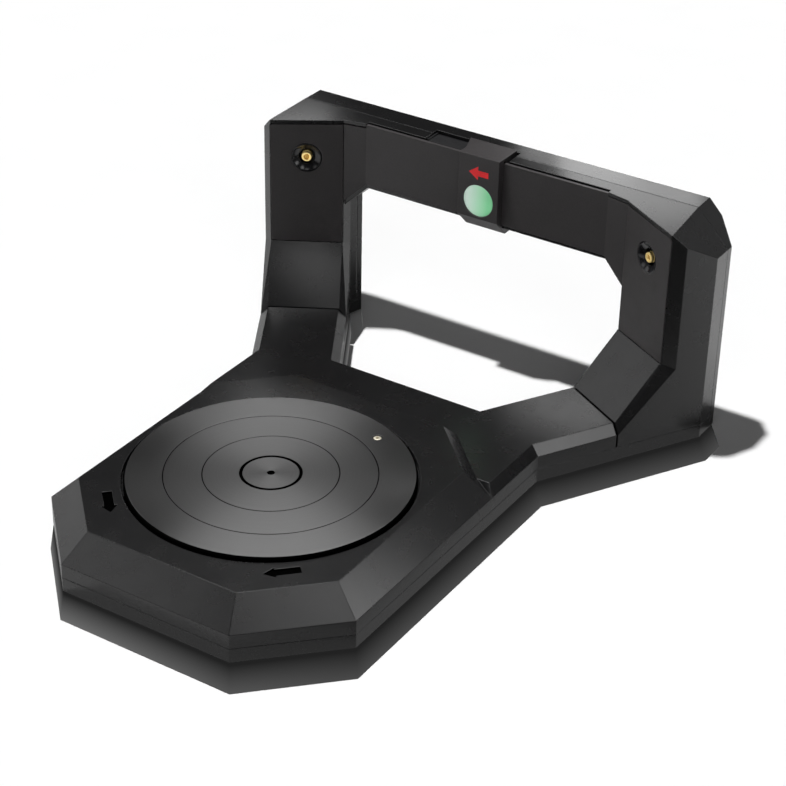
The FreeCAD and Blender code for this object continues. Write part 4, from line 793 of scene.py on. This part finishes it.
# The painted shadow strip glows at a set brightness of its own, whatever the lamps do. It begins under the
# base at starts and runs out to falls, both in mm from the base's outline.
# shortest leaves out its small sides. near is its brightness at the base, left and right are those of
# its outer edge at the ends of across, in metres, and sheen is the painted reflection of the strip that the
# base's walls show.
shade = {"falls": (17, -23), "starts": (-6, 8), "shortest": 12, "level": -0.0002, "near": 0.016,
         "left": 0.150, "right": 0.052, "across": (-0.09, 0.13), "sheen": 0.33, "roughness": 0.9,
         "sameLevel": 0.05}
bottom = nodes["base_bottom_shell"].data
lowest = min(vertex.co.z for vertex in bottom.vertices)
uses = {}
for face in bottom.polygons:
    if all(bottom.vertices[index].co.z - lowest < shade["sameLevel"] * mm for index in face.vertices):
        for first, second in zip(face.vertices, (*face.vertices[1:], face.vertices[0])):
            pair = tuple(sorted((first, second)))
            uses.setdefault(pair, []).append((first, second))
falls = Vector((*shade["falls"], 0)) * mm
starts = Vector((*shade["starts"], 0)) * mm
bm = bmesh.new()
reachLayer = bm.verts.layers.float.new("reach")
for (ends,) in (found for found in uses.values() if len(found) == 1):
    first, second = (Vector((*bottom.vertices[index].co.xy, shade["level"])) for index in ends)
    run = second - first
    # the outline of a face that looks down runs clockwise, so this points out of the base
    outward = Vector((-run.y, run.x, 0))
    if run.length < shade["shortest"] * mm or outward.dot(falls) <= 0:
        continue
    rows = [[bm.verts.new(spot + shift) for spot in (first, second)] for shift in (starts, Vector(), falls)]
    for row, reach in zip(rows, (0, 0, 1)):
        for vertex in row:
            vertex[reachLayer] = reach
    for row, following in zip(rows, rows[1:]):
        bm.faces.new((row[0], row[1], following[1], following[0]))
shadePiece = stagePiece("baseShade", bm)
shadeLook, tree, shader, where = startLook("shadedPaper")
away = tree.nodes.new("ShaderNodeAttribute")
away.attribute_name = "reach"
outer = ranged(tree, part(tree, where, "X"), shade["left"], shade["right"], *shade["across"])
level = ranged(tree, combined(tree, "MULTIPLY", away.outputs["Fac"], outer), shade["near"], 1, 0, 1)
# painted shadow and painted reflection: the strip glows at its level, and glossy rays see it at the sheen
# level
ray = tree.nodes.new("ShaderNodeLightPath")
tree.links.new(mixed(tree, ray.outputs["Is Glossy Ray"], level, (shade["sheen"],) * 3),
               shader.inputs["Emission Color"])
shader.inputs["Emission Strength"].default_value = 1.0
shader.inputs["Base Color"].default_value = (0, 0, 0, 1)
shader.inputs["Roughness"].default_value = shade["roughness"]
shader.inputs["Specular IOR Level"].default_value = 0.0
shadePiece.data.materials.append(shadeLook)
print("floor made")


# Light: a small lamp from above draws the shadows, a wide one fills, and soft boxes show only as sheen.
surround = {"colour": (0.80, 0.80, 0.82), "strength": 0.035}
world = bpy.data.worlds.new("studioWorld")
bpy.context.scene.world = world
world.use_nodes = True
world.node_tree.nodes["Background"].inputs["Color"].default_value = (*surround["colour"], 1)
world.node_tree.nodes["Background"].inputs["Strength"].default_value = surround["strength"]

# soft is how wide a lamp looks, in degrees
lamps = {
    "keyLight": {"from": (-0.26, -0.09, 1.0), "soft": 2.4, "strength": 3.40},
    "fillLight": {"from": (0.50, -0.85, 0.50), "soft": 60, "strength": 0.42},
}
for name, one in lamps.items():
    lamp = bpy.data.lights.new(name, "SUN")
    lamp.energy = one["strength"]
    lamp.angle = math.radians(one["soft"])
    made = bpy.data.objects.new(name, lamp)
    made.rotation_euler = Vector(one["from"]).to_track_quat("Z", "Y").to_euler()
    made.visible_glossy = False
    bpy.context.scene.collection.objects.link(made)

# where each box stands, what it looks at, how wide and tall it is, and its brightness, where 1 is white
softBoxes = {
    "overBox": {"at": (-0.27, 0.38, 1.38), "aim": (0.0, -0.08, 0.04), "size": (1.2, 0.7), "glow": 3.9},
    "roofLeftBox": {
        "at": (-0.280, 0.318, 0.315), "aim": (-0.16, 0.19, 0.178), "size": (0.08, 0.05), "glow": 3.0},
    "roofRightBox": {
        "at": (0.060, 0.330, 0.258), "aim": (0.125, 0.215, 0.176), "size": (0.12, 0.08), "glow": 2.4},
    "armBox": {
        "at": (-0.024, 0.397, 0.232), "aim": (0.122, 0.110, 0.031), "size": (0.10, 0.08), "glow": 1.7},
    "crownBox": {
        "at": (0.455, 0.683, 0.375), "aim": (0.182, 0.190, 0.170), "size": (0.30, 0.20), "glow": 0.24},
    "slopeBox": {
        "at": (0.158, -0.658, 1.396), "aim": (-0.140, 0.162, 0.054), "size": (0.5, 0.4), "glow": 1.15},
    "cornerBox": {
        "at": (0.775, -0.434, 1.114), "aim": (0.092, -0.185, 0.036), "size": (0.4, 0.4), "glow": 1.9},
    "frontLeftBox": {"at": (-1.07, -1.11, 0.97), "aim": (-0.1, -0.23, 0.03), "size": (0.7, 0.6), "glow": 0.9},
    "leftBox": {"at": (-1.23, -0.08, 0.65), "aim": (0.13, 0.13, 0.06), "size": (0.6, 0.4), "glow": 0.95},
    "lowLeftBox": {
        "at": (-0.88, -0.033, 0.10), "aim": (-0.094, -0.185, 0.034), "size": (0.3, 0.15), "glow": 0.6},
    "rightBox": {"at": (0.44, 0.09, 0.25), "aim": (0.12, -0.20, 0.03), "size": (0.22, 0.16), "glow": 2.4},
}
for name, box in softBoxes.items():
    lamp = bpy.data.lights.new(name, "AREA")
    lamp.shape = "RECTANGLE"
    lamp.size, lamp.size_y = box["size"]
    lamp.energy = box["glow"] * math.pi * math.prod(box["size"])
    made = bpy.data.objects.new(name, lamp)
    made.location = box["at"]
    made.rotation_euler = (Vector(box["aim"]) - made.location).to_track_quat("-Z", "Y").to_euler()
    made.visible_camera = False
    made.visible_diffuse = False
    bpy.context.scene.collection.objects.link(made)
bpy.context.scene.view_settings.view_transform = "Standard"
print("lights made")


# Camera: where it stands, its three angles in degrees, and its lens and sensor in mm.
view = {"at": (0.73780, -1.09832, 0.86365), "turn": 32.2246, "rise": 31.01, "roll": 1.1847,
        "lens": 99.24, "sensor": 36}
turnBy, riseBy, rollBy = (math.radians(view[one]) for one in ("turn", "rise", "roll"))
level = math.cos(riseBy)
backward = Vector((math.sin(turnBy) * level, -math.cos(turnBy) * level, math.sin(riseBy)))
rightward = Vector((math.cos(turnBy), math.sin(turnBy), 0))
upward = backward.cross(rightward)
across = math.cos(rollBy) * rightward + math.sin(rollBy) * upward
above = -math.sin(rollBy) * rightward + math.cos(rollBy) * upward
eye = bpy.data.cameras.new("photoView")
eye.lens = view["lens"]
eye.sensor_width = view["sensor"]
eye.sensor_fit = "HORIZONTAL"
eyePiece = bpy.data.objects.new("photoView", eye)
placed = Matrix((across, above, backward)).transposed().to_4x4()
placed.translation = Vector(view["at"])
eyePiece.matrix_world = placed
bpy.context.scene.collection.objects.link(eyePiece)
bpy.context.scene.camera = eyePiece
print("camera set")
